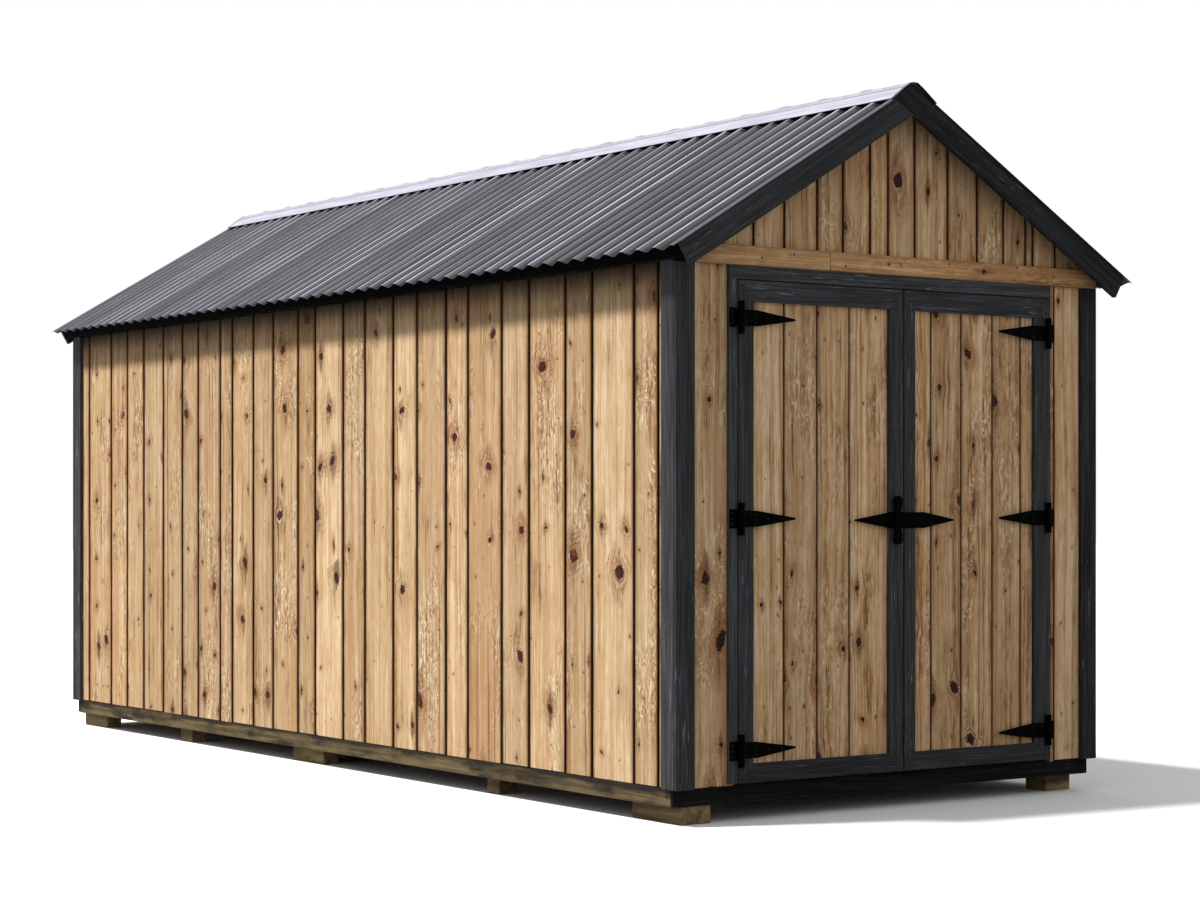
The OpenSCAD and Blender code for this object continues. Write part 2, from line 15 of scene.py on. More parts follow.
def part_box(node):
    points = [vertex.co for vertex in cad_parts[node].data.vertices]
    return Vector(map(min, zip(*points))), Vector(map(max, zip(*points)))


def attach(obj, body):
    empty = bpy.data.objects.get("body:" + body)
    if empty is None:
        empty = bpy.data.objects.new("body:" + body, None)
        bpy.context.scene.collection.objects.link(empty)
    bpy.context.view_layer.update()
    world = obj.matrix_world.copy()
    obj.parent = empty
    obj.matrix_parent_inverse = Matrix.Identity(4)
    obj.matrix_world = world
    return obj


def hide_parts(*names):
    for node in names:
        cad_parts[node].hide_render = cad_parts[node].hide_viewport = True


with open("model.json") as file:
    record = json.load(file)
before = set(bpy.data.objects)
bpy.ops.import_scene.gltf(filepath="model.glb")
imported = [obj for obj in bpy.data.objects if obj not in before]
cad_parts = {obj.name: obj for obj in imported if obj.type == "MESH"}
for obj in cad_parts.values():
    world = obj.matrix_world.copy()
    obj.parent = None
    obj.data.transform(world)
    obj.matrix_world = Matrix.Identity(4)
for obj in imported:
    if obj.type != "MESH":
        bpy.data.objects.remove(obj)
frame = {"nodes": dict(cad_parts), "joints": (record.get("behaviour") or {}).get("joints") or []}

LOG = logging.getLogger("shed")
MM = 0.001
UP = Vector((0, 0, 1))
ROOF_PITCH = math.radians(30.5)
# What each vertex carries for the finishes: its place in the wood, its board, and its nearness to an edge.
LAYERS = ("grain", "board", "rim")
# Distances under which two places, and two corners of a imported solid, count as one.
NEAR = 1e-4
MERGE = 2e-5
# Angles in radians, under which two faces are joined to one, and over which the edge between them is eased.
FLAT = math.radians(1.0)
SHARP = 0.3
# The share of its normal along the grain, past which a face is the end of a board.
SQUARE = 0.9
# How strongly the edges and joints of a piece are darkened, partly as staining and partly as painted shade in
# the joints: faintly, and fully as on the walls, the feet and the bearers.
FAINT_SOIL_AND_SHADE = 0.25
FULL_SOIL_AND_SHADE = 1.0


class Axis(Enum):
    """One of the three directions of the shed."""

    X = 0
    Y = 1
    Z = 2

    def unit(self) -> Vector:
        """Unit vector along the axis."""
        return Vector([1.0 if i == self.value else 0.0 for i in range(3)])


class Grain(Enum):
    """How the grain of a sawn piece runs."""

    LENGTH = "along its longest side"
    SLOPE = "up the slope of the roof"


class Body(Enum):
    """The bodies of the shed that a piece can ride on."""

    SHED = "shed"
    DOOR_LEFT = "door_left"
    DOOR_RIGHT = "door_right"


# ---------------------------------------------------------------- shader maths


class Signal:
    """A shader socket with the arithmetic of shader maths."""

    def __init__(self, bench: "Bench", socket: bpy.types.NodeSocket) -> None:
        """Wraps a socket.

        Args:
            bench: The node bench that the socket stands on.
            socket: The output socket.
        """
        self.bench = bench
        self.socket = socket

    def maths(self, operation: str, *others: "Signal | float") -> "Signal":
        """Adds a Math node after this signal.

        Args:
            operation: The operation of the Math node.
            others: The other values, in order.

        Returns:
            The result.
        """
        return self.bench.maths(operation, self, *others)

    def __add__(self, other: "Signal | float") -> "Signal":
        """Sum."""
        return self.bench.maths("ADD", self, other)

    def __radd__(self, other: float) -> "Signal":
        """Sum with a number on the left."""
        return self.bench.maths("ADD", other, self)

    def __sub__(self, other: "Signal | float") -> "Signal":
        """Difference."""
        return self.bench.maths("SUBTRACT", self, other)

    def __rsub__(self, other: float) -> "Signal":
        """Difference from a number on the left."""
        return self.bench.maths("SUBTRACT", other, self)

    def __mul__(self, other: "Signal | float") -> "Signal":
        """Product."""
        return self.bench.maths("MULTIPLY", self, other)

    def __rmul__(self, other: float) -> "Signal":
        """Product with a number on the left."""
        return self.bench.maths("MULTIPLY", other, self)

    def __truediv__(self, other: "Signal | float") -> "Signal":
        """Quotient."""
        return self.bench.maths("DIVIDE", self, other)

    def __rtruediv__(self, other: float) -> "Signal":
        """Quotient of a number on the left."""
        return self.bench.maths("DIVIDE", other, self)

    def __pow__(self, other: "Signal | float") -> "Signal":
        """Power."""
        return self.bench.maths("POWER", self, other)

    def clamped(self) -> "Signal":
        """The value held between 0 and 1."""
        return self.bench.maths("MINIMUM", self.bench.maths("MAXIMUM", self, 0.0), 1.0)

    def step(self, low: float, high: float) -> "Signal":
        """Smooth step from 0 at low to 1 at high, where low may be the greater.

        Args:
            low: The value that gives 0.
            high: The value that gives 1.

        Returns:
            The stepped value.
        """
        if low > high:
            return 1.0 - self.step(high, low)
        node = self.bench.node(
            "ShaderNodeMapRange",
            {"interpolation_type": "SMOOTHSTEP"},
            {"Value": self, "From Min": low, "From Max": high},
        )
        return Signal(self.bench, node.outputs["Result"])


Source = Signal | float | tuple


class Bench:
    """The nodes of one material or of the world."""

    def __init__(self, owner: bpy.types.Material | bpy.types.World) -> None:
        """Clears the nodes of a material or a world.

        Args:
            owner: The material or the world.
        """
        self.owner = owner
        owner.use_nodes = True
        self.tree = owner.node_tree
        self.tree.nodes.clear()

    def node(self, kind: str, settings: dict | None = None, inputs: dict | None = None) -> bpy.types.Node:
        """Adds any node.

        Args:
            kind: The type of the node.
            settings: Its settings, set first.
            inputs: Values or signals for its sockets, by name or index.

        Returns:
            The node.
        """
        made = self.tree.nodes.new(kind)
        for key, value in (settings or {}).items():
            setattr(made, key, value)
        for key, value in (inputs or {}).items():
            if isinstance(value, Signal):
                self.tree.links.new(value.socket, made.inputs[key])
            elif isinstance(value, tuple) and made.inputs[key].type == "RGBA":
                made.inputs[key].default_value = (*value, 1.0)
            else:
                made.inputs[key].default_value = value
        return made

    def maths(self, operation: str, *values: Source) -> Signal:
        """Adds a Math node and returns its result."""
        node = self.node("ShaderNodeMath", {"operation": operation}, dict(enumerate(values)))
        return Signal(self, node.outputs[0])

    def attribute(self, name: str) -> Signal:
        """The vector that each vertex carries under a name."""
        node = self.node("ShaderNodeAttribute", {"attribute_name": name})
        return Signal(self, node.outputs["Vector"])

    def place(self) -> Signal:
        """Object coordinates."""
        return Signal(self, self.node("ShaderNodeTexCoord").outputs["Object"])

    def split(self, vector: Signal) -> tuple[Signal, Signal, Signal]:
        """The three parts of a vector."""
        node = self.node("ShaderNodeSeparateXYZ", None, {0: vector})
        return tuple(Signal(self, output) for output in node.outputs)

    def join(self, x: Source, y: Source, z: Source = 0.0) -> Signal:
        """A vector of three parts."""
        return Signal(self, self.node("ShaderNodeCombineXYZ", None, {0: x, 1: y, 2: z}).outputs[0])

    def noise(
        self, vector: Signal, scale: float = 1.0, detail: float = 2.0, roughness: float = 0.5
    ) -> Signal:
        """Noise between 0 and 1.

        Args:
            vector: The coordinates.
            scale: How fine it is.
            detail: The number of finer layers.
            roughness: The weight of the finer layers.

        Returns:
            The value of the noise.
        """
        node = self.node(
            "ShaderNodeTexNoise",
            None,
            {"Vector": vector, "Scale": scale, "Detail": detail, "Roughness": roughness},
        )
        return Signal(self, node.outputs["Fac"])

    def mix(self, a: Source, b: Source, factor: Source) -> Signal:
        """Mix of two colours.

        Args:
            a: The colour at 0.
            b: The colour at 1.
            factor: The share of the second colour.

        Returns:
            The mixed colour.
        """
        settings = {"data_type": "RGBA", "clamp_factor": True}
        node = self.node("ShaderNodeMix", settings, {0: factor, 6: a, 7: b})
        return Signal(self, node.outputs[2])

    def seen(self) -> Signal:
        """1 for the rays of the camera and for mirrored or refracted ones, and 0 for the rest.

        Returns:
            The mask.
        """
        path = self.node("ShaderNodeLightPath")
        mask = Signal(self, path.outputs["Is Camera Ray"])
        for name in ("Is Glossy Ray", "Is Transmission Ray"):
            mask = mask.maths("MAXIMUM", Signal(self, path.outputs[name]))
        return mask

    def scaled(self, colour: Signal, amount: Signal) -> Signal:
        """A colour times a value."""
        node = self.node("ShaderNodeVectorMath", {"operation": "SCALE"}, {0: colour, "Scale": amount})
        return Signal(self, node.outputs[0])

    def finish(
        self,
        colour: Source,
        roughness: Source,
        gloss: float,
        height: Signal | None = None,
        relief: float = 0.0,
    ) -> bpy.types.Material:
        """Closes the material with its shader.

        Args:
            colour: The base colour.
            roughness: The roughness.
            gloss: The strength of the shine over the colour.
            height: The height that the bump follows, from 0 to 1.
            relief: The depth of the bump in metres.

        Returns:
            The material.
        """
        inputs = {"Base Color": colour, "Roughness": roughness, "Metallic": 0.0, "Specular IOR Level": gloss}
        if height is not None:
            bump = self.node("ShaderNodeBump", None, {"Strength": 1.0, "Distance": relief, "Height": height})
            inputs["Normal"] = Signal(self, bump.outputs[0])
        shader = self.node("ShaderNodeBsdfPrincipled", None, inputs)
        self.node("ShaderNodeOutputMaterial", None, {0: Signal(self, shader.outputs[0])})
        return self.owner


# ---------------------------------------------------------------- finishes


@dataclass(frozen=True)
class Knots:
    """Where each point of a face lies among scattered knots.

    Attributes:
        away: The distance from the nearest knot, in its radii.
        dx: The way from its middle across the grain.
        dy: The way from its middle along the grain.
        radius: Its radius.
        present: 1 where the knot is there, and 0 where its ground is empty.
    """

    away: Signal
    dx: Signal
    dy: Signal
    radius: Signal
    present: Signal


@dataclass(frozen=True)
class PineFinish:
    """Knotty softwood, oiled or bare."""

    name: str = "pine_boards"
    light: tuple = (0.88, 0.68, 0.44)
    middle: tuple = (0.66, 0.435, 0.235)
    dark: tuple = (0.30, 0.145, 0.058)
    warm: tuple = (0.52, 0.235, 0.080)
    knot: tuple = (0.030, 0.009, 0.007)
    halo: tuple = (0.36, 0.135, 0.045)
    whorl: tuple = (0.060, 0.026, 0.018)
    seam: float = 0.009
    star: tuple = (0.003, 0.002, 0.002)
    rind: tuple = (0.90, 0.70, 0.46)
    smear: tuple = (0.07, 0.032, 0.017)
    pin: tuple = (0.022, 0.010, 0.007)
    pale_curl: tuple = (0.97, 0.81, 0.58)
    dark_curl: tuple = (0.30, 0.125, 0.046)
    vein: tuple = (0.15, 0.066, 0.026)
    blotch: tuple = (0.10, 0.05, 0.026)
    crack: tuple = (0.045, 0.02, 0.01)
    # Darkening beside the joints and on the edges of the boards: partly stain, partly painted shade in the
    # joints.
    edge_stain_and_shade: tuple = (0.24, 0.105, 0.040)
    joint_stain_and_shade: tuple = (0.13, 0.062, 0.027)
    rim_stain_and_shade: tuple = (0.034, 0.016, 0.008)
    # Painted shade under the eaves: brown lower down, nearly black at the top of the wall.
    eave_brown_shade: tuple = (0.060, 0.036, 0.018)
    eave_shade: tuple = (0.008, 0.005, 0.003)
    cell: tuple = (0.17, 0.29)
    pin_cell: tuple = (0.075, 0.125)
    pin_girth: tuple = (0.0016, 0.0040)
    knots: float = 0.58
    girth: tuple = (0.0060, 0.023)
    stretch: float = 0.56
    pins: float = 0.24
    curl: float = 1.0
    deepening: float = 1.18
    eave: float = 0.0
    eave_top: float = 2.35
    relief: float = 0.0026
    gloss: float = 0.06

    def knot_field(
        self, b: Bench, across: Signal, along: Signal, cell: tuple, share: float, size: tuple
    ) -> Knots:
        """Scattered knots.

        Args:
            b: The bench.
            across: The place across the grain.
            along: The place along the grain.
            cell: The width and the length of the ground of each knot.
            share: The share of the grounds that hold one.
            size: The least radius, and the most that chance adds to it.

        Returns:
            The place of each point among the knots.
        """
        grid = b.join(across * (1 / cell[0]), along * (1 / cell[1]))
        cells = b.node(
            "ShaderNodeTexVoronoi",
            {"voronoi_dimensions": "2D"},
            {"Vector": grid, "Scale": 1.0, "Randomness": 0.92},
        )
        chance, girth, lean = b.split(Signal(b, cells.outputs["Color"]))
        seat_x, seat_y, _ = b.split(Signal(b, cells.outputs["Position"]))
        dx = across - seat_x * cell[0]
        dy = (along - seat_y * cell[1]) * (self.stretch + lean * 0.46) + dx * (lean - 0.5) * 0.9
        radius = (girth**2.4) * size[1] + size[0]
        reach = dx * dx + dy * dy
        return Knots(reach.maths("SQRT") / radius, dx, dy, radius, chance.maths("LESS_THAN", share))

    def make(self) -> bpy.types.Material:
        """Builds the material.

        Returns:
            The material, which reads the grain and the board of each vertex.
        """
        b = Bench(bpy.data.materials.new(self.name))
        across, along, depth = b.split(b.attribute("grain"))
        tone, centre, other = b.split(b.attribute("board"))
        rim, half, soil_and_shade = b.split(b.attribute("rim"))
        # Large knots, whose shape wanders, and the fibres that flow round them.
        wander = b.noise(b.join(across * 44.0, along * 30.0, depth * 60.0), 1.0, 4.0, 0.65)
        drift = b.noise(b.join(across * 40.0 + 9.0, along * 27.0, depth * 60.0), 1.0, 3.0, 0.6)
        ragged = b.noise(b.join(across * 210.0, along * 120.0, depth * 60.0), 1.0, 2.0, 0.6)
        warped = across + (wander - 0.5) * 0.020
        warped_along = along + (drift - 0.5) * 0.034
        shape = 1.0 + (ragged - 0.5) * 0.9
        big = self.knot_field(b, warped, warped_along, self.cell, self.knots, self.girth)
        raw, dx, dy, radius, present = big.away, big.dx, big.dy, big.radius, big.present
        away = raw * shape
        core = away.step(1.06, 0.9) * present
        ring = away.step(1.9, 1.0) * present
        glow = away.step(5.0, 1.2) * present
        smear = ((dx * dx + dy * dy * 0.06).maths("SQRT") / radius).step(1.8, 0.5) * present
        reach = raw * raw * radius * radius
        flow = (radius * radius * 2.4 / (reach + radius * radius * 0.5)) * raw.step(7.0, 1.5) * present
        # Pin knots.
        small = self.knot_field(b, warped + 3.3, warped_along + 1.7, self.pin_cell, self.pins, self.pin_girth)
        pin_away = small.away * shape
        pin = pin_away.step(1.15, 0.75) * small.present
        pin_glow = pin_away.step(4.0, 1.0) * small.present
        # Grain along the board, from broad bands down to fibres.
        bent = across - dx * flow.clamped() * 0.9
        slow = b.noise(b.join(across * 3.0, along * 0.8, depth), 1.0, 2.0) - 0.5
        line = bent + slow * 0.05
        streaks = b.noise(b.join(line * 38.0, along * 0.9, depth * 30.0), 1.0, 3.0, 0.6)
        threads = b.noise(b.join(line * 120.0, along * 2.6, depth * 60.0), 1.0, 3.0, 0.65)
        fibres = b.noise(b.join(line * 330.0, along * 9.0, depth * 90.0), 1.0, 2.0, 0.6)
        bands = b.noise(b.join(line * 11.0, along * 0.35, tone * 9.0), 1.0, 2.0)
        cloud = b.noise(b.join(across * 9.0, along * 4.0, other * 13.0), 1.0, 3.0, 0.6)
        zone = b.noise(b.join(across * 5.0, along * 1.7, other * 30.0), 1.0, 2.0)
        # Curly figure, as pale wisps and dark creases.
        curly = (zone.step(0.48, 0.64) * other.step(0.1, 0.6) + glow * 0.7).clamped() * self.curl
        ground = b.noise(b.join(line * 15.0 + other * 9.0, along * 4.6, depth * 8.0), 1.0, 2.5, 0.55)
        contour = (ground * (44.0 + other * 30.0) + raw.step(7.0, 0.0) * present * 24.0).maths("SINE")
        patch = b.noise(b.join(line * 55.0, along * 15.0, depth * 30.0), 1.0, 2.0, 0.6)
        wisp = contour.step(0.45, 0.98) * patch.step(0.42, 0.6) * curly
        crease = contour.step(-0.45, -0.98) * patch.step(0.60, 0.42) * curly
        bits = b.join(line * 70.0 + ground * 5.0, along * 15.0 + ground * 4.0, depth * 50.0)
        fleck = b.noise(bits, 1.0, 2.5, 0.6)
        # The colour of clear wood, its heartwood and its stains.
        value = (streaks - 0.5) * 0.95 + (threads - 0.5) * 0.7 + (fibres - 0.5) * 0.4 + (bands - 0.5) * 0.7
        value = value + (fleck - 0.5) * (0.42 + curly * 0.5) + (cloud - 0.5) * 0.65 + 0.02
        value = 0.5 + value * self.deepening
        colour = b.mix(self.dark, self.middle, value.step(0.02, 0.46))
        colour = b.mix(colour, self.light, value.step(0.44, 0.9))
        heart = (bands.step(0.49, 0.64) * other.step(0.1, 0.6) + cloud.step(0.53, 0.70) * 0.6).clamped()
        colour = b.mix(colour, self.warm, heart * 0.55)
        colour = b.scaled(colour, 0.84 + tone * 0.28)
        colour = b.mix(colour, self.pale_curl, wisp * 0.6)
        colour = b.mix(colour, self.dark_curl, crease * 0.5)
        vein = b.noise(b.join(line * 75.0, along * 0.5, depth * 40.0 + 11.0), 1.0, 2.0, 0.5)
        colour = b.mix(colour, self.vein, vein.step(0.59, 0.75) * 0.7)
        stain = b.noise(b.join(across * 16.0 + 4.0, along * 3.2, other * 17.0), 1.0, 3.0, 0.65)
        colour = b.mix(colour, self.blotch, stain.step(0.63, 0.80) * 0.6)
        # The colour of the knots.
        colour = b.mix(colour, self.halo, glow * cloud.step(0.3, 0.6) * 0.55)
        colour = b.mix(colour, self.smear, smear * streaks.step(0.42, 0.6) * 0.7)
        colour = b.mix(colour, self.rind, ring * ragged.step(0.52, 0.70) * 0.4)
        colour = b.mix(colour, self.halo, ring * ragged.step(0.56, 0.35) * 0.8)
        whorl = (away * 15.0 + wander * 6.0).maths("SINE") * 0.5 + 0.5
        star = (dy.maths("ARCTAN2", dx) * 3.0 + wander * 14.0).maths("COSINE").step(0.72, 1.0)
        heartwood = b.mix(b.mix(self.knot, self.whorl, whorl * 0.7), self.star, star * 0.8)
        colour = b.mix(colour, heartwood, core)
        colour = b.mix(colour, self.halo, pin_glow * 0.5)
        colour = b.mix(colour, self.pin, pin * 0.95)
        # Drying cracks, darkening beside the joints as stain and painted shade, and painted shade under the
        # eaves.
        split = b.noise(b.join(line * 150.0, along * 1.7, depth * 50.0), 1.0, 1.0)
        crack = split.step(0.74, 0.81)
        colour = b.mix(colour, self.crack, crack * 0.75)
        inset = half - centre.maths("ABSOLUTE")
        near = inset.step(0.030, 0.0) * soil_and_shade
        colour = b.mix(colour, self.edge_stain_and_shade, near * (0.1 + stain.step(0.35, 0.65) * 0.75))
        colour = b.mix(colour, self.joint_stain_and_shade, inset.step(self.seam, 0.001) * soil_and_shade * 0.75)
        colour = b.mix(colour, self.rim_stain_and_shade, rim.step(0.05, 0.9) * soil_and_shade * 0.93)
        # Painted shade, darkest at the top of the wall and fading downwards from the eaves.
        if self.eave > 0:
            _, _, level = b.split(b.place())
            drop = self.eave_top - level + (stain - 0.5) * 0.03
            colour = b.mix(colour, self.eave_brown_shade, drop.step(0.235, 0.155) * self.eave * 0.42)
            colour = b.mix(colour, self.eave_shade, drop.step(0.155, 0.0) * self.eave * 0.92)
        height = value * 0.6 + fibres * 0.3 + wisp * 0.3 - core * 0.4 - crack * 0.5 - crease * 0.3
        return b.finish(colour, 0.66 + fibres * 0.2 - core * 0.1, self.gloss, height, self.relief)


@dataclass(frozen=True)
class CharcoalFinish:
    """Charcoal stain brushed on rough boards, worn thin along the grain."""

    name: str = "charcoal_boards"
    base: tuple = (0.024, 0.0245, 0.0275)
    brushed: tuple = (0.060, 0.061, 0.068)
    bare: tuple = (0.130, 0.133, 0.145)
    fleck: tuple = (0.32, 0.33, 0.345)
    chips: float = 1.0
    gloss: float = 0.06
    crack: tuple = (0.004, 0.004, 0.005)
    relief: float = 0.0022

    def make(self) -> bpy.types.Material:
        """Builds the material.

        Returns:
            The material, which reads the grain and the board of each vertex.
        """
        b = Bench(bpy.data.materials.new(self.name))
        across, along, depth = b.split(b.attribute("grain"))
        tone, _, _ = b.split(b.attribute("board"))
        slow = b.noise(b.join(across * 4.0, along * 1.2, depth), 1.0, 2.0) - 0.5
        swirl = b.noise(b.join(across * 18.0, along * 3.4, depth * 9.0), 1.0, 2.5, 0.6)
        line = across + slow * 0.02 + (swirl - 0.5) * 0.012
        streaks = b.noise(b.join(line * 60.0, along * 1.6, depth * 60.0), 1.0, 3.0, 0.6)
        threads = b.noise(b.join(line * 190.0, along * 3.6, depth * 190.0), 1.0, 3.0, 0.65)
        fibres = b.noise(b.join(line * 420.0, along * 9.0, depth * 400.0), 1.0, 2.0, 0.6)
        patch = b.noise(b.join(across * 7.0, along * 1.1, depth * 7.0), 1.0, 3.0, 0.6)
        scuff = b.noise(b.join(line * 150.0, along * 7.0, depth * 160.0 + 5.0), 1.0, 2.0, 0.6)
        value = 0.5 + (streaks - 0.5) * 0.9 + (threads - 0.5) * 1.1 + (fibres - 0.5) * 0.4
        colour = b.mix(self.base, self.brushed, value.step(0.3, 0.8))
        colour = b.scaled(colour, 0.85 + tone * 0.3)
        worn = threads.step(0.52, 0.74) * patch.step(0.42, 0.64)
        colour = b.mix(colour, self.bare, worn * 0.6)
        mark = scuff.step(0.63, 0.73) * patch.step(0.46, 0.6) * self.chips
        colour = b.mix(colour, self.fleck, mark * 0.75)
        split = b.noise(b.join(line * 130.0, along * 1.5, depth * 60.0), 1.0, 1.0)
        crack = split.step(0.72, 0.8)
        colour = b.mix(colour, self.crack, crack * 0.8)
        height = value * 0.6 + fibres * 0.4 - crack * 0.5
        return b.finish(colour, 0.6 + fibres * 0.25, self.gloss, height, self.relief)


@dataclass(frozen=True)
class SawnFinish:
    """Rough sawn structural timber."""

    name: str
    light: tuple
    dark: tuple
    stain: tuple
    stained: float
    # Painted shadow with some soiling, from a little under the top of the bearers upward, where the wall
    # boards shade them.
    shadow_and_dirt: tuple = (0.008, 0.006, 0.004)
    shadow_top: float = 0.151
    relief: float = 0.0018
    gloss: float = 0.2

    def make(self) -> bpy.types.Material:
        """Builds the material.

        Returns:
            The material, which reads the grain and the board of each vertex.
        """
        b = Bench(bpy.data.materials.new(self.name))
        across, along, depth = b.split(b.attribute("grain"))
        tone, _, _ = b.split(b.attribute("board"))
        _, _, soil_and_shade = b.split(b.attribute("rim"))
        _, _, level = b.split(b.place())
        slow = b.noise(b.join(across * 5.0, along * 0.9, depth * 5.0), 1.0, 2.0) - 0.5
        line = across + slow * 0.03
        streaks = b.noise(b.join(line * 40.0, along * 1.4, depth * 40.0), 1.0, 4.0, 0.62)
        fibres = b.noise(b.join(line * 260.0, along * 10.0, depth * 260.0), 1.0, 3.0, 0.6)
        saw = b.noise(b.join(across * 6.0, along * 190.0, depth * 6.0), 1.0, 1.0)
        blot = b.noise(b.join(across * 14.0, along * 4.0, depth * 14.0), 1.0, 4.0, 0.65)
        patch = b.noise(b.join(across * 5.0, along * 1.3, depth * 5.0 + 3.0), 1.0, 3.0, 0.6)
        colour = b.mix(self.dark, self.light, (streaks + fibres * 0.35 - 0.17).step(0.27, 0.7))
        colour = b.scaled(colour, 0.85 + tone * 0.3)
        colour = b.mix(colour, self.stain, (blot * 0.6 + patch * 0.4).step(0.44, 0.62) * self.stained)
        crack = b.noise(b.join(line * 110.0, along * 1.5, depth * 60.0), 1.0, 1.0).step(0.72, 0.8)
        colour = b.mix(colour, self.stain, crack * 0.8)
        # Painted shadow and soiling near the top of the bearers and above.
        below_shadow_top = self.shadow_top - level + (patch - 0.5) * 0.11
        colour = b.mix(colour, self.shadow_and_dirt, below_shadow_top.step(0.022, 0.002) * (0.6 + blot * 0.8) * soil_and_shade)
        height = streaks * 0.4 + fibres * 0.3 + saw * 0.3
        return b.finish(colour, 0.7 + fibres * 0.2, self.gloss, height, self.relief)


@dataclass(frozen=True)
class FeltFinish:
    """Black building felt behind the boards, kept dark as painted shade in the joints."""

    name: str = "felt_and_joint_shade"
    base: tuple = (0.014, 0.009, 0.006)
    pale: tuple = (0.026, 0.016, 0.010)
    relief: float = 0.002
    gloss: float = 0.05

    def make(self) -> bpy.types.Material:
        """Builds the material.

        Returns:
            The material.
        """
        b = Bench(bpy.data.materials.new(self.name))
        grit = b.noise(b.place(), 320.0, 3.0, 0.6)
        folds = b.noise(b.place(), 9.0, 2.0)
        colour = b.mix(self.base, self.pale, grit)
        return b.finish(colour, 0.8 + folds * 0.15, self.gloss, grit * 0.3 + folds, self.relief)


@dataclass(frozen=True)
class IronFinish:
    """Black coated ironwork, rubbed thin in patches."""

    name: str = "black_ironwork"
    base: tuple = (0.0003, 0.0003, 0.0004)
    pale: tuple = (0.0016, 0.0016, 0.002)
    rubbed: tuple = (0.012, 0.012, 0.013)
    gloss: float = 0.008
    relief: float = 0.0006

    def make(self) -> bpy.types.Material:
        """Builds the material.

        Returns:
            The material.
        """
        b = Bench(bpy.data.materials.new(self.name))
        grit = b.noise(b.place(), 420.0, 3.0, 0.6)
        wear = b.noise(b.place(), 38.0, 4.0, 0.6)
        rubbed = wear.step(0.56, 0.72)
        colour = b.mix(self.base, self.pale, grit)
        colour = b.mix(colour, self.rubbed, rubbed * 0.4)
        rough = 0.42 + grit * 0.15 - rubbed * 0.1
        return b.finish(colour, rough, self.gloss, grit * 0.5 + wear * 0.5, self.relief)


@dataclass(frozen=True)
class RoofSteelFinish:
    """Grey coated roof sheet, with painted highlights on its crests and painted shade in its troughs."""

    name: str = "roof_steel"
    base: tuple = (0.0405, 0.0375, 0.047)
    pale: tuple = (0.092, 0.0865, 0.105)
    # Colour of the painted highlights along the crests.
    worn: tuple = (0.545, 0.520, 0.625)
    speck: tuple = (0.15, 0.142, 0.17)
    shade: tuple = (0.020, 0.019, 0.023)
    # Colours of the painted shade in the troughs, and under the edge of the ridge cap.
    trough_shade: tuple = (0.010, 0.0095, 0.011)
    under_cap_shade: tuple = (0.0015, 0.0015, 0.0018)
    tuck: float = 0.022
    crest: tuple = (-0.0019, -0.0007)
    trough: tuple = (-0.0075, -0.0135)
    highlight_fade_end: tuple = (3.150, 3.085)
    relief: float = 0.0006
    gloss: float = 0.16

    def make(self) -> bpy.types.Material:
        """Builds the material.

        Returns:
            The material, which reads the place on the slope and the sheet of each vertex.
        """
        b = Bench(bpy.data.materials.new(self.name))
        along, up, deep = b.split(b.attribute("grain"))
        tone, capped, _ = b.split(b.attribute("board"))
        streaks = b.noise(b.join(along * 60.0, up * 1.4), 1.0, 3.0, 0.65)
        runs = b.noise(b.join(along * 150.0, up * 3.0), 1.0, 3.0, 0.65)
        grit = b.noise(b.join(along * 320.0, up * 120.0), 1.0, 2.0, 0.6)
        wide = b.noise(b.join(along * 3.1, up * 0.45), 1.0, 3.0, 0.6)
        narrow = b.noise(b.join(along * 9.0, up * 0.3 + 7.0), 1.0, 1.0)
        glint = b.noise(b.join(along * 13.0, up * 2.2 + 3.0), 1.0, 3.0, 0.65)
        crest = deep.step(*self.crest)
        trough = deep.step(*self.trough)
        colour = b.mix(self.base, self.pale, (streaks * 0.5 + runs * 0.5).step(0.36, 0.64))
        colour = b.mix(colour, self.speck, grit.step(0.52, 0.8) * 0.55)
        colour = b.scaled(colour, 0.9 + tone * 0.2)
        shade = wide.step(0.5, 0.66) * 0.5 + narrow.step(0.55, 0.75) * 0.4
        colour = b.mix(colour, self.shade, shade)
        # Painted highlights along the crests, fainter towards the gable ends.
        bright = (0.24 + glint.step(0.3, 0.7) * 0.66) * along.maths("ABSOLUTE").step(*self.highlight_fade_end)
        colour = b.mix(colour, self.worn, crest * (bright + 0.06))
        # Painted shade in the troughs, nearly black in the troughs just under the edge of the ridge cap.
        colour = b.mix(colour, self.trough_shade, trough * 0.86)
        under = (capped - up).step(self.tuck + 0.006, self.tuck) * deep.step(-0.0022, -0.0045)
        colour = b.mix(colour, self.under_cap_shade, under)
        rough = 0.5 + streaks * 0.2 + trough * 0.15
        return b.finish(colour, rough, self.gloss, grit * 0.5 + streaks * 0.5, self.relief)


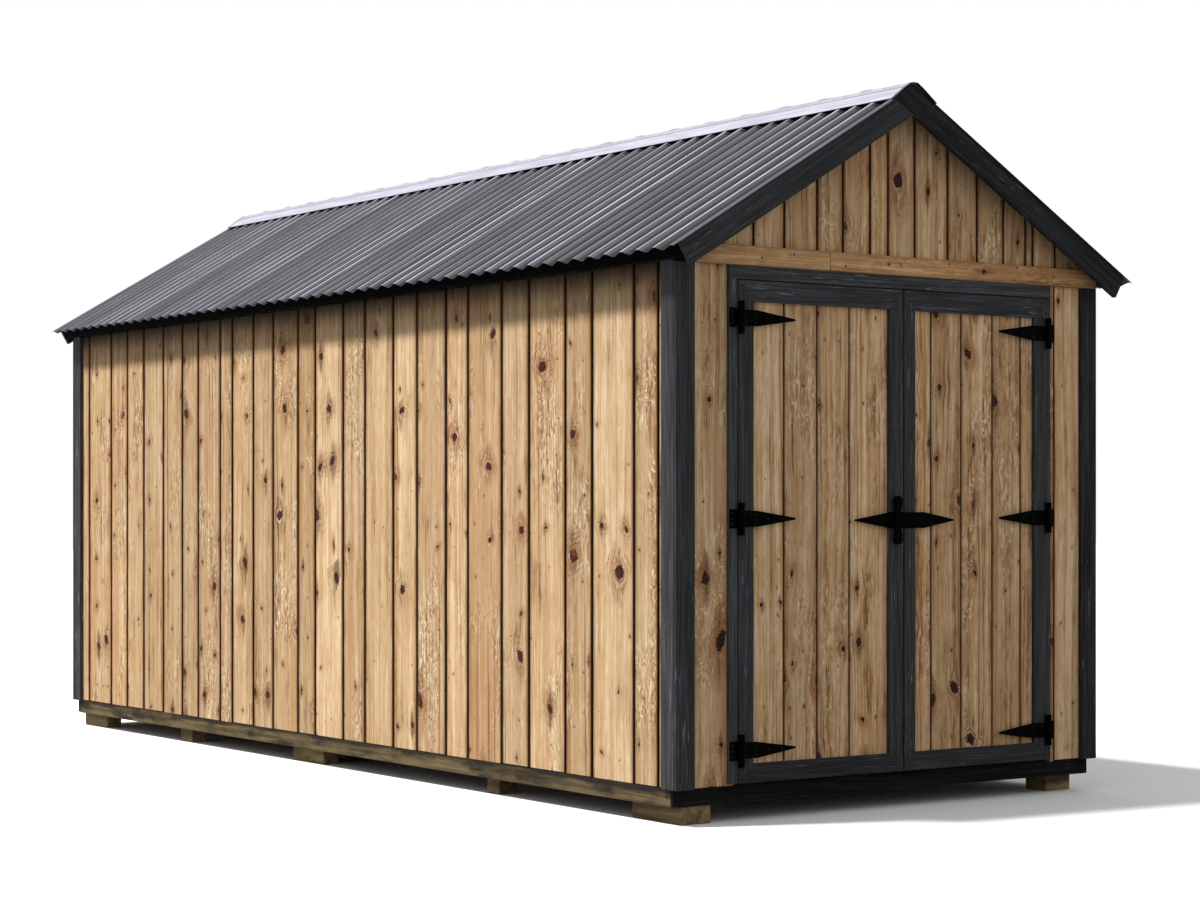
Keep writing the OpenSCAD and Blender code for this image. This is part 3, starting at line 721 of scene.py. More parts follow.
@dataclass(frozen=True)
class CapFinish:
    """Pale silver coated flashing."""

    name: str = "ridge_flashing"
    base: tuple = (0.338, 0.324, 0.395)
    pale: tuple = (0.450, 0.437, 0.512)
    spot: tuple = (0.22, 0.205, 0.25)
    fold_shade: tuple = (0.13, 0.115, 0.155)
    top_shade: tuple = (0.25, 0.235, 0.295)
    rim_shade: tuple = (0.010, 0.010, 0.011)
    end_shade: tuple = (0.012, 0.012, 0.013)
    crease: float = 0.0525
    edge: float = 0.1267
    ends: tuple = (3.148, 3.156)
    relief: float = 0.0006
    gloss: float = 0.2

    def make(self) -> bpy.types.Material:
        """Builds the material.

        Returns:
            The material.
        """
        b = Bench(bpy.data.materials.new(self.name))
        x, y, z = b.split(b.place())
        streaks = b.noise(b.join(x * 30.0, y * 3.0, z * 30.0), 1.0, 3.0, 0.6)
        spots = b.noise(b.place(), 26.0, 4.0, 0.6)
        grit = b.noise(b.place(), 500.0, 2.0)
        colour = b.mix(self.base, self.pale, streaks.step(0.35, 0.7))
        colour = b.mix(colour, self.spot, spots.step(0.6, 0.78) * 0.45)
        wing = x.maths("ABSOLUTE")
        fold = (wing - self.crease).maths("ABSOLUTE")
        colour = b.mix(colour, self.fold_shade, fold.step(0.006, 0.002) * (0.4 + streaks * 0.7))
        top = wing.step(self.crease, self.crease - 0.004) * (0.35 + spots.step(0.4, 0.6) * 0.5)
        colour = b.mix(colour, self.top_shade, top * 0.7)
        colour = b.mix(colour, self.rim_shade, wing.step(self.edge - 0.0016, self.edge - 0.0006))
        end = y.maths("ABSOLUTE").step(*self.ends)
        colour = b.mix(colour, self.end_shade, end)
        return b.finish(colour, 0.45 + streaks * 0.2, self.gloss, grit * 0.3 + streaks * 0.7, self.relief)


@dataclass(frozen=True)
class FloorFinish:
    """Plain pale studio floor, which the camera sees white and which throws little light up."""

    name: str = "studio_floor"
    pale: tuple = (0.95, 0.95, 0.955)
    soft: tuple = (0.945, 0.945, 0.945)
    plain: tuple = (0.18, 0.18, 0.18)

    def make(self) -> bpy.types.Material:
        """Builds the material.

        Returns:
            The material.
        """
        b = Bench(bpy.data.materials.new(self.name))
        fine = b.noise(b.place(), 3.0, 2.0)
        colour = b.mix(self.plain, b.mix(self.pale, self.soft, fine), b.seen())
        return b.finish(colour, 0.9, 0.0)


class Finishes:
    """All finishes of the shed, each made once."""

    def __init__(self) -> None:
        """Makes the materials."""
        # The front, the doors and the gables take a darker copy of the pine, painted as in shade; the long
        # walls take the lighter copy below, painted as sunlit, with painted shade under the eaves.
        self.pine = PineFinish(
            light=(0.84, 0.62, 0.385),
            middle=(0.60, 0.375, 0.190),
            dark=(0.25, 0.115, 0.044),
            warm=(0.46, 0.200, 0.066),
            knot=(0.020, 0.009, 0.007),
            knots=0.58,
            girth=(0.0072, 0.023),
            pins=0.26,
            curl=1.15,
            deepening=1.45,
        ).make()
        self.lit_pine = PineFinish(
            "lit_pine_boards",
            whorl=(0.125, 0.050, 0.032),
            seam=0.015,
            knots=0.60,
            stretch=0.9,
            girth=(0.0068, 0.028),
            curl=1.65,
            eave=1.0,
        ).make()
        self.charcoal = CharcoalFinish().make()
        self.brushed = CharcoalFinish(
            "brushed_charcoal_boards",
            (0.032, 0.033, 0.036),
            (0.084, 0.085, 0.095),
            (0.165, 0.169, 0.183),
            (0.37, 0.38, 0.395),
        ).make()
        # A darker copy of the charcoal, painted as in shade, for the face boards of the front right and back
        # left corners and for the front right barge.
        self.deep = CharcoalFinish(
            "shaded_charcoal_boards",
            (0.012, 0.0122, 0.0138),
            (0.036, 0.0365, 0.041),
            (0.085, 0.087, 0.095),
            (0.26, 0.27, 0.28),
            chips=0.8,
            gloss=0.03,
        ).make()
        # A lighter copy of the charcoal, painted as sunlit on the side boards of the corner trims; the left
        # jamb takes it too.
        self.lighter_charcoal = CharcoalFinish(
            "lighter_charcoal_boards",
            (0.036, 0.037, 0.041),
            (0.095, 0.097, 0.107),
            (0.19, 0.195, 0.21),
            (0.42, 0.43, 0.45),
        ).make()
        self.beam = PineFinish(
            "beam_pine",
            light=(0.70, 0.465, 0.245),
            middle=(0.48, 0.270, 0.120),
            dark=(0.18, 0.078, 0.030),
            warm=(0.36, 0.15, 0.05),
            knots=0.25,
            pins=0.26,
            curl=0.5,
            deepening=1.5,
        ).make()
        # Near black painted shade, for the fascias and rafter tails under the eaves, the ends of the beams,
        # and the tongues behind the door joints.
        self.shade_black = CharcoalFinish(
            "shade_black_boards",
            (0.0012, 0.0012, 0.0014),
            (0.004, 0.0042, 0.005),
            (0.008, 0.008, 0.009),
            (0.02, 0.02, 0.02),
            chips=0.3,
            gloss=0.01,
        ).make()
        # A darker copy of the charcoal, painted as in shade, for the skirts.
        self.shade = CharcoalFinish(
            "shaded_skirt_charcoal_boards",
            (0.0078, 0.0078, 0.0084),
            (0.021, 0.021, 0.023),
            (0.04, 0.04, 0.043),
            (0.10, 0.10, 0.105),
            chips=0.5,
            gloss=0.02,
        ).make()
        self.treated = SawnFinish(
            "treated_timber", (0.36, 0.257, 0.122), (0.126, 0.084, 0.037), (0.028, 0.019, 0.010), 0.7
        ).make()
        self.bearer = SawnFinish(
            "weathered_bearer", (0.190, 0.137, 0.066), (0.048, 0.032, 0.015), (0.010, 0.007, 0.0045), 1.0
        ).make()
        self.framing = SawnFinish(
            "framing_timber", (0.60, 0.43, 0.25), (0.42, 0.27, 0.13), (0.30, 0.19, 0.09), 0.35
        ).make()
        self.felt = FeltFinish().make()
        self.iron = IronFinish().make()
        self.heads = IronFinish(
            "screw_heads", (0.006, 0.006, 0.0065), (0.018, 0.018, 0.020), (0.06, 0.06, 0.064), 0.05
        ).make()
        self.roof = RoofSteelFinish().make()
        self.cap = CapFinish().make()
        self.floor = FloorFinish().make()


# ---------------------------------------------------------------- joinery


def points_of(node: str) -> list[Vector]:
    """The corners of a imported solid."""
    return [v.co for v in frame["nodes"][node].data.vertices]


def whole(mesh: bmesh.types.BMesh) -> list:
    """Everything in a mesh, as the cutting operators want it."""
    return mesh.verts[:] + mesh.edges[:] + mesh.faces[:]


def solid_of(node: str) -> bmesh.types.BMesh:
    """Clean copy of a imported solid, with its loose triangles joined to flat faces.

    Args:
        node: The name of the node.

    Returns:
        The copy.
    """
    solid = bmesh.new()
    solid.from_mesh(frame["nodes"][node].data)
    bmesh.ops.remove_doubles(solid, verts=solid.verts[:], dist=MERGE)
    bmesh.ops.dissolve_limit(
        solid, angle_limit=FLAT, use_dissolve_boundaries=False, verts=solid.verts[:], edges=solid.edges[:]
    )
    return solid


def islands(solid: bmesh.types.BMesh) -> list[bmesh.types.BMesh]:
    """Splits a mesh into its separate solids.

    Args:
        solid: The mesh, which stays as it is.

    Returns:
        One mesh for each separate solid.
    """
    solid.verts.ensure_lookup_table()
    left = set(range(len(solid.verts)))
    groups = []
    while left:
        start = min(left)
        stack, group = [start], {start}
        while stack:
            vertex = solid.verts[stack.pop()]
            for edge in vertex.link_edges:
                other = edge.other_vert(vertex).index
                if other not in group:
                    group.add(other)
                    stack.append(other)
        left -= group
        groups.append(group)
    parts = []
    for group in groups:
        part = solid.copy()
        strays = [v for v in part.verts if v.index not in group]
        bmesh.ops.delete(part, geom=strays, context="VERTS")
        parts.append(part)
    return parts


class Joinery:
    """Sawn pieces gathered into one mesh, each with its own grain and tone.

    Attributes:
        rafter_off: How far off the ridge the middle of a sloping timber lies at least.
        rafter_run: How far a sloping timber runs across the shed at least.
        least_rim: The width of the rim of a piece with sharp edges, darkened partly as staining and partly as
            painted shade.
        spread: How far apart in the wood the grain of two pieces can lie.
    """

    rafter_off = 0.05
    rafter_run = 0.3
    least_rim = 0.0005
    spread = 60

    def __init__(self, name: str, seed: int, soil_and_shade: float = FAINT_SOIL_AND_SHADE) -> None:
        """Starts an empty piece.

        Args:
            name: The name of the piece.
            seed: The seed of its chances.
            soil_and_shade: How strongly its edges and joints are darkened, partly as staining and partly as
                painted shade, from 0 to 1.
        """
        self.name = name
        self.soil_and_shade = soil_and_shade
        self.rng = random.Random(seed)
        self.mesh = self.sheet()

    @staticmethod
    def sheet() -> bmesh.types.BMesh:
        """Starts a mesh with the layers that the finishes read.

        Returns:
            The empty mesh.
        """
        mesh = bmesh.new()
        for layer in LAYERS:
            mesh.verts.layers.float_vector.new(layer)
        return mesh

    def board(
        self,
        low: Vector,
        high: Vector,
        along: Axis,
        cuts: tuple = (),
        edge: float = 0.002,
        slot: int = 0,
    ) -> None:
        """Adds one board.

        Args:
            low: Its lowest corner.
            high: Its highest corner.
            along: The direction of its grain.
            cuts: Planes that trim it, each a point and the normal of the side that goes.
            edge: The width of its eased edges.
            slot: The material slot of its faces.
        """
        part = self.sheet()
        bmesh.ops.create_cube(part, size=1.0)
        size = high - low
        bmesh.ops.scale(part, vec=size, verts=part.verts[:])
        bmesh.ops.translate(part, vec=(low + high) / 2, verts=part.verts[:])
        for point, normal in cuts:
            bmesh.ops.bisect_plane(part, geom=whole(part), plane_co=point, plane_no=normal, clear_outer=True)
            rim = [e for e in part.edges if e.is_boundary]
            if rim:
                bmesh.ops.holes_fill(part, edges=rim)
        if not part.faces:
            return
        grain = along.unit()
        rest = [a for a in Axis if a is not along]
        wide = max(rest, key=lambda a: size[a.value])
        self.dress(part, (low + high) / 2, grain, wide.unit(), edge, slot)

    def recut(self, node: str, grain: Grain, edge: float) -> None:
        """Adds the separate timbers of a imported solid, with eased edges.

        Args:
            node: The name of the node.
            grain: How the grain runs.
            edge: The width of the eased edges.
        """
        for part in islands(solid_of(node)):
            for layer in LAYERS:
                part.verts.layers.float_vector.new(layer)
            low = Vector([min(v.co[i] for v in part.verts) for i in range(3)])
            high = Vector([max(v.co[i] for v in part.verts) for i in range(3)])
            size = high - low
            middle = (low + high) / 2
            order = sorted(Axis, key=lambda a: -size[a.value])
            length, wide = order[0].unit(), order[1].unit()
            if grain is Grain.SLOPE and abs(middle.x) > self.rafter_off and size.x > self.rafter_run:
                tilt = ROOF_PITCH * (1 if middle.x < 0 else -1)
                length = Vector((math.cos(tilt), 0, math.sin(tilt)))
                wide = Vector((-math.sin(tilt), 0, math.cos(tilt)))
            self.dress(part, middle, length, wide, edge, 0)

    def dress(
        self, part: bmesh.types.BMesh, middle: Vector, grain: Vector, wide: Vector, edge: float, slot: int
    ) -> None:
        """Eases the edges of one timber, marks its grain and joins it to the piece.

        Args:
            part: The timber, which is used up.
            middle: Its middle.
            grain: The direction of the grain.
            wide: The direction across its face.
            edge: The width of the eased edges.
            slot: The material slot of its faces.
        """
        bmesh.ops.recalc_face_normals(part, faces=part.faces[:])
        if edge > 0:
            sharp = [e for e in part.edges if len(e.link_faces) == 2 and e.calc_face_angle(0) > SHARP]
            bmesh.ops.bevel(
                part,
                geom=sharp,
                offset=edge,
                offset_type="OFFSET",
                affect="EDGES",
                segments=2,
                profile=0.5,
                material=-1,
                clamp_overlap=True,
            )
        deep = grain.cross(wide)
        shift = Vector([self.rng.uniform(0, self.spread) for _ in range(3)])
        tone = self.rng.random()
        other = self.rng.random()
        grain_layer = part.verts.layers.float_vector["grain"]
        board_layer = part.verts.layers.float_vector["board"]
        rim_layer = part.verts.layers.float_vector["rim"]
        half_w = max(abs((v.co - middle).dot(wide)) for v in part.verts)
        half_l = max(abs((v.co - middle).dot(grain)) for v in part.verts)
        for v in part.verts:
            local = v.co - middle
            across, length = local.dot(wide), local.dot(grain)
            inset = min(half_w - abs(across), half_l - abs(length))
            rim = min(1.0, max(0.0, 1.0 - inset / max(edge, self.least_rim)))
            v[grain_layer] = Vector((across, length, local.dot(deep))) + shift
            v[board_layer] = Vector((tone, across, other))
            v[rim_layer] = Vector((rim, half_w, self.soil_and_shade))
        for face in part.faces:
            face.material_index = slot
        self.gather(part)

    def head(self, middle: Vector, facing: Vector, radii: tuple, height: float, sides: int) -> None:
        """Adds the domed head of a screw or a nail.

        Args:
            middle: Its middle.
            facing: The direction that it faces.
            radii: Its radius at the seat and at the top.
            height: Its height.
            sides: The number of its sides.
        """
        part = self.sheet()
        bmesh.ops.create_cone(
            part, cap_ends=True, segments=sides, radius1=radii[0], radius2=radii[1], depth=height
        )
        turn = UP.rotation_difference(facing).to_matrix().to_4x4()
        bmesh.ops.transform(part, matrix=turn, verts=part.verts[:])
        bmesh.ops.translate(part, vec=middle, verts=part.verts[:])
        self.gather(part)

    def part_sides(self, reach: float) -> None:
        """Parts the faces along two upright planes, one on each side of the ridge line.

        Args:
            reach: The distance of the planes from the ridge line.
        """
        for x in (-reach, reach):
            bmesh.ops.bisect_plane(self.mesh, geom=whole(self.mesh), plane_co=(x, 0, 0), plane_no=(1, 0, 0))

    def gather(self, part: bmesh.types.BMesh) -> None:
        """Joins a finished mesh to the piece and frees it.

        Args:
            part: The finished mesh.
        """
        carrier = bpy.data.meshes.new("carrier")
        part.to_mesh(carrier)
        part.free()
        self.mesh.from_mesh(carrier)
        bpy.data.meshes.remove(carrier)

    def close(
        self,
        materials: list[bpy.types.Material],
        slot: str,
        body: Body = Body.SHED,
        replaces: tuple[str, ...] = (),
        smooth: float | None = None,
    ) -> None:
        """Turns the piece into an object that rides on a body.

        Args:
            materials: The materials of its slots.
            slot: The material slot of the record; not used.
            body: The body it rides on.
            replaces: The nodes that it stands for.
            smooth: The angle in degrees under which faces are shaded smoothly.
        """
        data = bpy.data.meshes.new(self.name)
        self.mesh.to_mesh(data)
        self.mesh.free()
        for material in materials:
            data.materials.append(material)
        if smooth is not None:
            data.shade_smooth()
            data.set_sharp_from_angle(angle=math.radians(smooth))
        piece = bpy.data.objects.new(self.name, data)
        bpy.context.scene.collection.objects.link(piece)
        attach(piece, body.value)
        if replaces:
            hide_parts(*replaces)
        LOG.info("%s: %d faces on %s", self.name, len(data.polygons), body.value)


# ---------------------------------------------------------------- boarded faces


def board_ends(start: float, end: float, joints: list[float]) -> list[tuple[float, float]]:
    """Stretches between joints.

    Args:
        start: The start of the face.
        end: The end of the face.
        joints: The places of the joints, of which those too near the ends are left out.

    Returns:
        The start and the end of each board, measured to the middle of the joints.
    """
    least = 10 * MM
    marks = [start] + [j for j in joints if start + least < j < end - least] + [end]
    return list(zip(marks[:-1], marks[1:]))


def board_edges(stretches: list[tuple[float, float]], gap: float) -> list[tuple[float, float]]:
    """Draws boards back from the joints between them.

    Args:
        stretches: The start and the end of each board, measured to the middle of the joints.
        gap: The width of a joint.

    Returns:
        The start and the end of each board, with the outer ends of the face where they were.
    """
    last = len(stretches) - 1
    return [
        (a if i == 0 else a + gap / 2, b if i == last else b - gap / 2) for i, (a, b) in enumerate(stretches)
    ]


@dataclass
class BoardedFace:
    """Upright boards side by side over felt, with a lining of boards behind."""

    node: str
    side: Axis
    outward: int
    joints: list[float]
    seed: int
    gap: float = 0.016
    board_t: float = 0.020
    felt_t: float = 0.004
    edge: float = 0.004
    proud: float = 0.0012
    ragged: float = 0.003
    lining_gap: float = 0.003
    lining_edge: float = 0.0015
    least_rise: float = 0.05
    foot: float | None = None
    head: float | None = None

    def build(self, finishes: Finishes) -> None:
        """Builds the boards, the felt and the lining.

        Args:
            finishes: The finishes of the shed.
        """
        low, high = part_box(self.node)
        low.z = low.z if self.foot is None else self.foot
        high.z = high.z if self.head is None else self.head
        deep = Axis.X if self.side is Axis.Y else Axis.Y
        work = Joinery(f"{self.node}_boards", self.seed, FULL_SOIL_AND_SHADE)
        cuts = self.slopes()
        face = high if self.outward > 0 else low
        outer = face[deep.value]

        def layer(a: float, b: float, near: float, far: float) -> tuple[Vector, Vector]:
            """Corners of a slab that lies in the wall.

            Args:
                a: Its start across the face.
                b: Its end across the face.
                near: The depth of its outer side.
                far: The depth of its inner side.

            Returns:
                Its lowest and its highest corner.
            """
            one, two = low.copy(), high.copy()
            one[self.side.value], two[self.side.value] = a, b
            ends = sorted((outer - self.outward * near, outer - self.outward * far))
            one[deep.value], two[deep.value] = ends
            return one, two

        total = high[deep.value] - low[deep.value]
        start, end = low[self.side.value], high[self.side.value]
        stretches = board_ends(start, end, self.joints)
        for left, right in board_edges(stretches, self.gap):
            set_in = work.rng.uniform(0, self.proud)
            one, two = layer(left, right, set_in, self.board_t)
            one.z += work.rng.uniform(0, self.ragged)
            work.board(one, two, Axis.Z, cuts, self.edge)
        # The felt behind the joints takes the felt finish, dark as painted shade.
        felt = layer(start, end, self.board_t, self.board_t + self.felt_t)
        work.board(*felt, Axis.Z, cuts, 0.0, 1)
        middles = [(a + b) / 2 for a, b in stretches]
        for a, b in board_ends(start, end, middles):
            back = layer(a + self.lining_gap / 2, b - self.lining_gap / 2, self.board_t + self.felt_t, total)
            work.board(*back, Axis.Z, cuts, self.lining_edge)
        # The long walls take the lighter pine painted as sunlit, the front and the gables the darker pine
        # painted as in shade.
        wood = finishes.lit_pine if self.side is Axis.Y else finishes.pine
        work.close([wood, finishes.felt], "board_timber", Body.SHED, (self.node,))

    def slopes(self) -> tuple:
        """Finds the planes of the roof slopes that trim the boards of a gable.

        Returns:
            The planes, each a point and the normal of the side that goes, or none for a level head.
        """
        low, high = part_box(self.node)
        side = max(p.z for p in points_of(self.node) if abs(p.x - low.x) < NEAR)
        if high.z - side < self.least_rise or self.side is Axis.Y:
            return ()
        run = (high.x - low.x) / 2
        normal = Vector((-(high.z - side), 0, run)).normalized()
        apex = Vector(((low.x + high.x) / 2, 0, high.z))
        return ((apex, normal), (apex, Vector((-normal.x, 0, normal.z))))


@dataclass
class Walls:
    """The boarded walls and gables."""

    finishes: Finishes
    side_joint: float = 0.153
    side_widths: tuple = (
        173, 310, 205, 290, 225, 290, 195, 265, 225, 275, 220, 290,
        185, 275, 225, 245, 145, 270, 200, 245, 260, 225, 225, 315,
    )
    gable_places: tuple = (255, 422, 589, 770, 915, 1069, 1173, 1328, 1525, 1703, 1866, 2004, 2050, 2191)
    back_first: float = 0.2
    back_last: float = 0.35
    back_widths: tuple = (0.17, 0.29)
    strip_joint: float = 0.266

    def side_joints(self, mirrored: bool) -> list[float]:
        """Places of the joints along a long wall.

        Args:
            mirrored: Whether they are counted from the back.

        Returns:
            The places along Y.
        """
        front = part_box("corner_front_left")[0].y
        places = [front + self.side_joint]
        for width in self.side_widths:
            places.append(places[-1] + width * MM)
        return sorted(-p for p in places) if mirrored else places

    def gable_joints(self, flipped: bool) -> list[float]:
        """Places of the joints across a gable.

        Args:
            flipped: Whether they are counted from the right.

        Returns:
            The places along X.
        """
        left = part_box("corner_front_left")[0].x
        places = [left + place * MM for place in self.gable_places]
        return sorted(-p for p in places) if flipped else places

    def build(self) -> None:
        """Builds every boarded wall."""
        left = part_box("corner_front_left")[0].x
        spread = random.Random(71)
        back = [left + self.back_first]
        while back[-1] < -left - self.back_last:
            back.append(back[-1] + spread.uniform(*self.back_widths))
        beam_low, beam_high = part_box("beam_front")
        lap = (beam_low.z + beam_high.z) / 2
        plans = (
            BoardedFace("wall_left", Axis.Y, -1, self.side_joints(False), 11, gap=0.0125),
            BoardedFace("wall_right", Axis.Y, 1, self.side_joints(True), 12, gap=0.0125),
            BoardedFace("wall_back", Axis.X, 1, back, 13, gap=0.011, head=lap),
            BoardedFace("wall_front_left", Axis.X, -1, [], 14, gap=0.010, head=lap),
            BoardedFace("wall_front_right", Axis.X, -1, [-left - self.strip_joint], 15, gap=0.024, head=lap),
            BoardedFace("gable_front", Axis.X, -1, self.gable_joints(False), 16, gap=0.0065, foot=lap),
            BoardedFace("gable_back", Axis.X, 1, self.gable_joints(True), 17, gap=0.0065, foot=lap),
        )
        for plan in plans:
            plan.build(self.finishes)


# ---------------------------------------------------------------- trims, base and frame


@dataclass
class Timbers:
    """The trims, the base and the timber frame."""

    finishes: Finishes
    trim_t: float = 0.020
    trim_edge: float = 0.003
    beam_joint: float = -0.396
    beam_gap: float = 0.0016
    beam_shade_reach: float = 0.062
    end_skin: float = 0.0012
    floor_count: int = 16
    floor_gap: float = 0.002
    floor_edge: float = 0.001
    floor_seams: float = 1.8
    tongue_w: float = 0.018
    tongue_inset: float = 0.002
    tongue_top: float = 0.006
    tail_lap: float = 0.006

    def corner(self, node: str, seed: int) -> None:
        """Builds a corner trim of two boards, one lapping the other.

        Args:
            node: The node that it stands for.
            seed: The seed of its chances.
        """
        low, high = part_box(node)
        work = Joinery(f"{node}_trim", seed)
        front = low.y < 0
        left = low.x < 0
        lap = low.y + self.trim_t if front else high.y - self.trim_t
        end_low, end_high = low.copy(), high.copy()
        end_high.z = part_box("beam_front")[0].z
        if front:
            end_high.y = lap
        else:
            end_low.y = lap
        work.board(end_low, end_high, Axis.Z, (), self.trim_edge)
        # The face board of the front right and back left corners takes the darker charcoal, painted as in
        # shade, and every side board the lighter charcoal, painted as sunlit.
        face_finish = self.finishes.charcoal if left == front else self.finishes.deep
        side_low, side_high = low.copy(), high.copy()
        if front:
            side_low.y = lap
        else:
            side_high.y = lap
        if left:
            side_high.x = low.x + self.trim_t
        else:
            side_low.x = high.x - self.trim_t
        work.board(side_low, side_high, Axis.Z, (), self.trim_edge, 1)
        work.close([face_finish, self.finishes.lighter_charcoal], "charcoal_timber", Body.SHED, (node,))

    def beam(self, node: str, seed: int) -> None:
        """Builds a gable beam of two boards that butt together.

        Args:
            node: The node that it stands for.
            seed: The seed of its chances.
        """
        low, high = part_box(node)
        points = points_of(node)
        side = max(p.z for p in points if abs(p.x - low.x) < NEAR)
        shoulder = max(p.x for p in points if abs(p.z - high.z) < NEAR)
        normal = Vector((high.z - side, 0, high.x - shoulder)).normalized()
        cuts = (
            (Vector((shoulder, 0, high.z)), normal),
            (Vector((-shoulder, 0, high.z)), Vector((-normal.x, 0, normal.z))),
        )
        work = Joinery(f"{node}_boards", seed)
        seam = self.beam_joint if low.y < 0 else -self.beam_joint
        half = self.beam_gap / 2
        work.board(low, Vector((seam - half, high.y, high.z)), Axis.X, cuts, self.trim_edge)
        work.board(Vector((seam + half, low.y, low.z)), high, Axis.X, cuts, self.trim_edge)
        # The end of the beam at one corner, and its end faces, take the near black painted shade.
        shade_from = high.x - self.beam_shade_reach
        work.part_sides(shade_from)
        corner = -1 if low.y < 0 else 1
        for face in work.mesh.faces:
            x = face.calc_center_median().x
            face.material_index = 1 if x * corner > shade_from or abs(x) > high.x - self.end_skin else 0
        work.close([self.finishes.beam, self.finishes.shade_black], "board_timber", Body.SHED, (node,))

    def floor(self) -> None:
        """Builds the floorboards, and the dark tongues that close the joints between them."""
        low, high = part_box("floor")
        work = Joinery("floor_boards", 41)
        step = (high.x - low.x) / self.floor_count
        half = self.floor_gap / 2
        for i in range(self.floor_count):
            a = Vector((low.x + i * step + half, low.y, low.z))
            b = Vector((low.x + (i + 1) * step - half, high.y, high.z))
            seam = work.rng.uniform(-self.floor_seams, self.floor_seams)
            work.board(a, Vector((b.x, seam - half, b.z)), Axis.Y, (), self.floor_edge)
            work.board(Vector((a.x, seam + half, a.z)), b, Axis.Y, (), self.floor_edge)
        # The end faces of the floorboards, and the tongues under their joints, take the felt finish, dark as
        # painted shade.
        for face in work.mesh.faces:
            face.material_index = 1 if abs(face.normal.y) > SQUARE else 0
        for i in range(1, self.floor_count):
            x = low.x + i * step
            one = Vector((x - self.tongue_w / 2, low.y + self.tongue_inset, low.z + self.tongue_inset))
            two = Vector((x + self.tongue_w / 2, high.y - self.tongue_inset, low.z + self.tongue_top))
            work.board(one, two, Axis.Y, (), 0.0, 1)
        work.close([self.finishes.framing, self.finishes.felt], "framing_timber", Body.SHED, ("floor",))

    def build(self) -> None:
        """Builds every timber piece outside the walls and the doors."""
        for i, name in enumerate(("front_left", "front_right", "back_left", "back_right")):
            self.corner(f"corner_{name}", 21 + i)
        self.beam("beam_front", 26)
        self.beam("beam_back", 27)
        self.floor()
        charcoal, shade = self.finishes.charcoal, self.finishes.shade
        treated, framing = self.finishes.treated, self.finishes.framing
        plans = (
            ("feet", treated, "treated_timber", Grain.LENGTH, 0.004),
            ("bearers", self.finishes.bearer, "treated_timber", Grain.LENGTH, 0.003),
            ("joists", treated, "treated_timber", Grain.LENGTH, 0.002),
            # The skirts take the charcoal painted as in shade.
            ("skirt_front", shade, "charcoal_timber", Grain.LENGTH, 0.002),
            ("skirt_back", shade, "charcoal_timber", Grain.LENGTH, 0.002),
            ("frame_left", framing, "framing_timber", Grain.LENGTH, 0.0015),
            ("frame_right", framing, "framing_timber", Grain.LENGTH, 0.0015),
            ("frame_front", framing, "framing_timber", Grain.LENGTH, 0.0015),
            ("frame_back", framing, "framing_timber", Grain.LENGTH, 0.0015),
            ("roof_frame", framing, "framing_timber", Grain.SLOPE, 0.0015),
            ("purlins", framing, "framing_timber", Grain.LENGTH, 0.0015),
            # The fascias take the near black painted shade of the eaves.
            ("fascias", self.finishes.shade_black, "charcoal_timber", Grain.LENGTH, 0.002),
            ("barge_front_left", charcoal, "charcoal_timber", Grain.SLOPE, 0.002),
            # The front right barge takes the darker charcoal, painted as in shade.
            ("barge_front_right", self.finishes.deep, "charcoal_timber", Grain.SLOPE, 0.002),
            ("barges_back", charcoal, "charcoal_timber", Grain.SLOPE, 0.002),
            ("door_header", self.finishes.brushed, "charcoal_timber", Grain.LENGTH, 0.002),
            ("jamb_left", self.finishes.lighter_charcoal, "charcoal_timber", Grain.LENGTH, 0.002),
            ("jamb_right", self.finishes.pine, "board_timber", Grain.LENGTH, 0.002),
        )
        for i, (node, material, slot, grain, edge) in enumerate(plans):
            soil_and_shade = FULL_SOIL_AND_SHADE if node in ("bearers", "feet") else FAINT_SOIL_AND_SHADE
            work = Joinery(f"{node}_timber", 50 + i, soil_and_shade)
            work.recut(node, grain, edge)
            materials = [material]
            if node == "roof_frame":
                self.blacken_tails(work)
                materials.append(self.finishes.shade_black)
            work.close(materials, slot, Body.SHED, (node,))

    def blacken_tails(self, work: Joinery) -> None:
        """Gives the rafter tails outside the walls the near black painted shade of the eaves.

        Args:
            work: The piece of the rafters, whose second slot is black.
        """
        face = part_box("wall_right")[1].x - self.tail_lap
        work.part_sides(face)
        for side in work.mesh.faces:
            side.material_index = 1 if abs(side.calc_center_median().x) > face else 0


# ---------------------------------------------------------------- doors


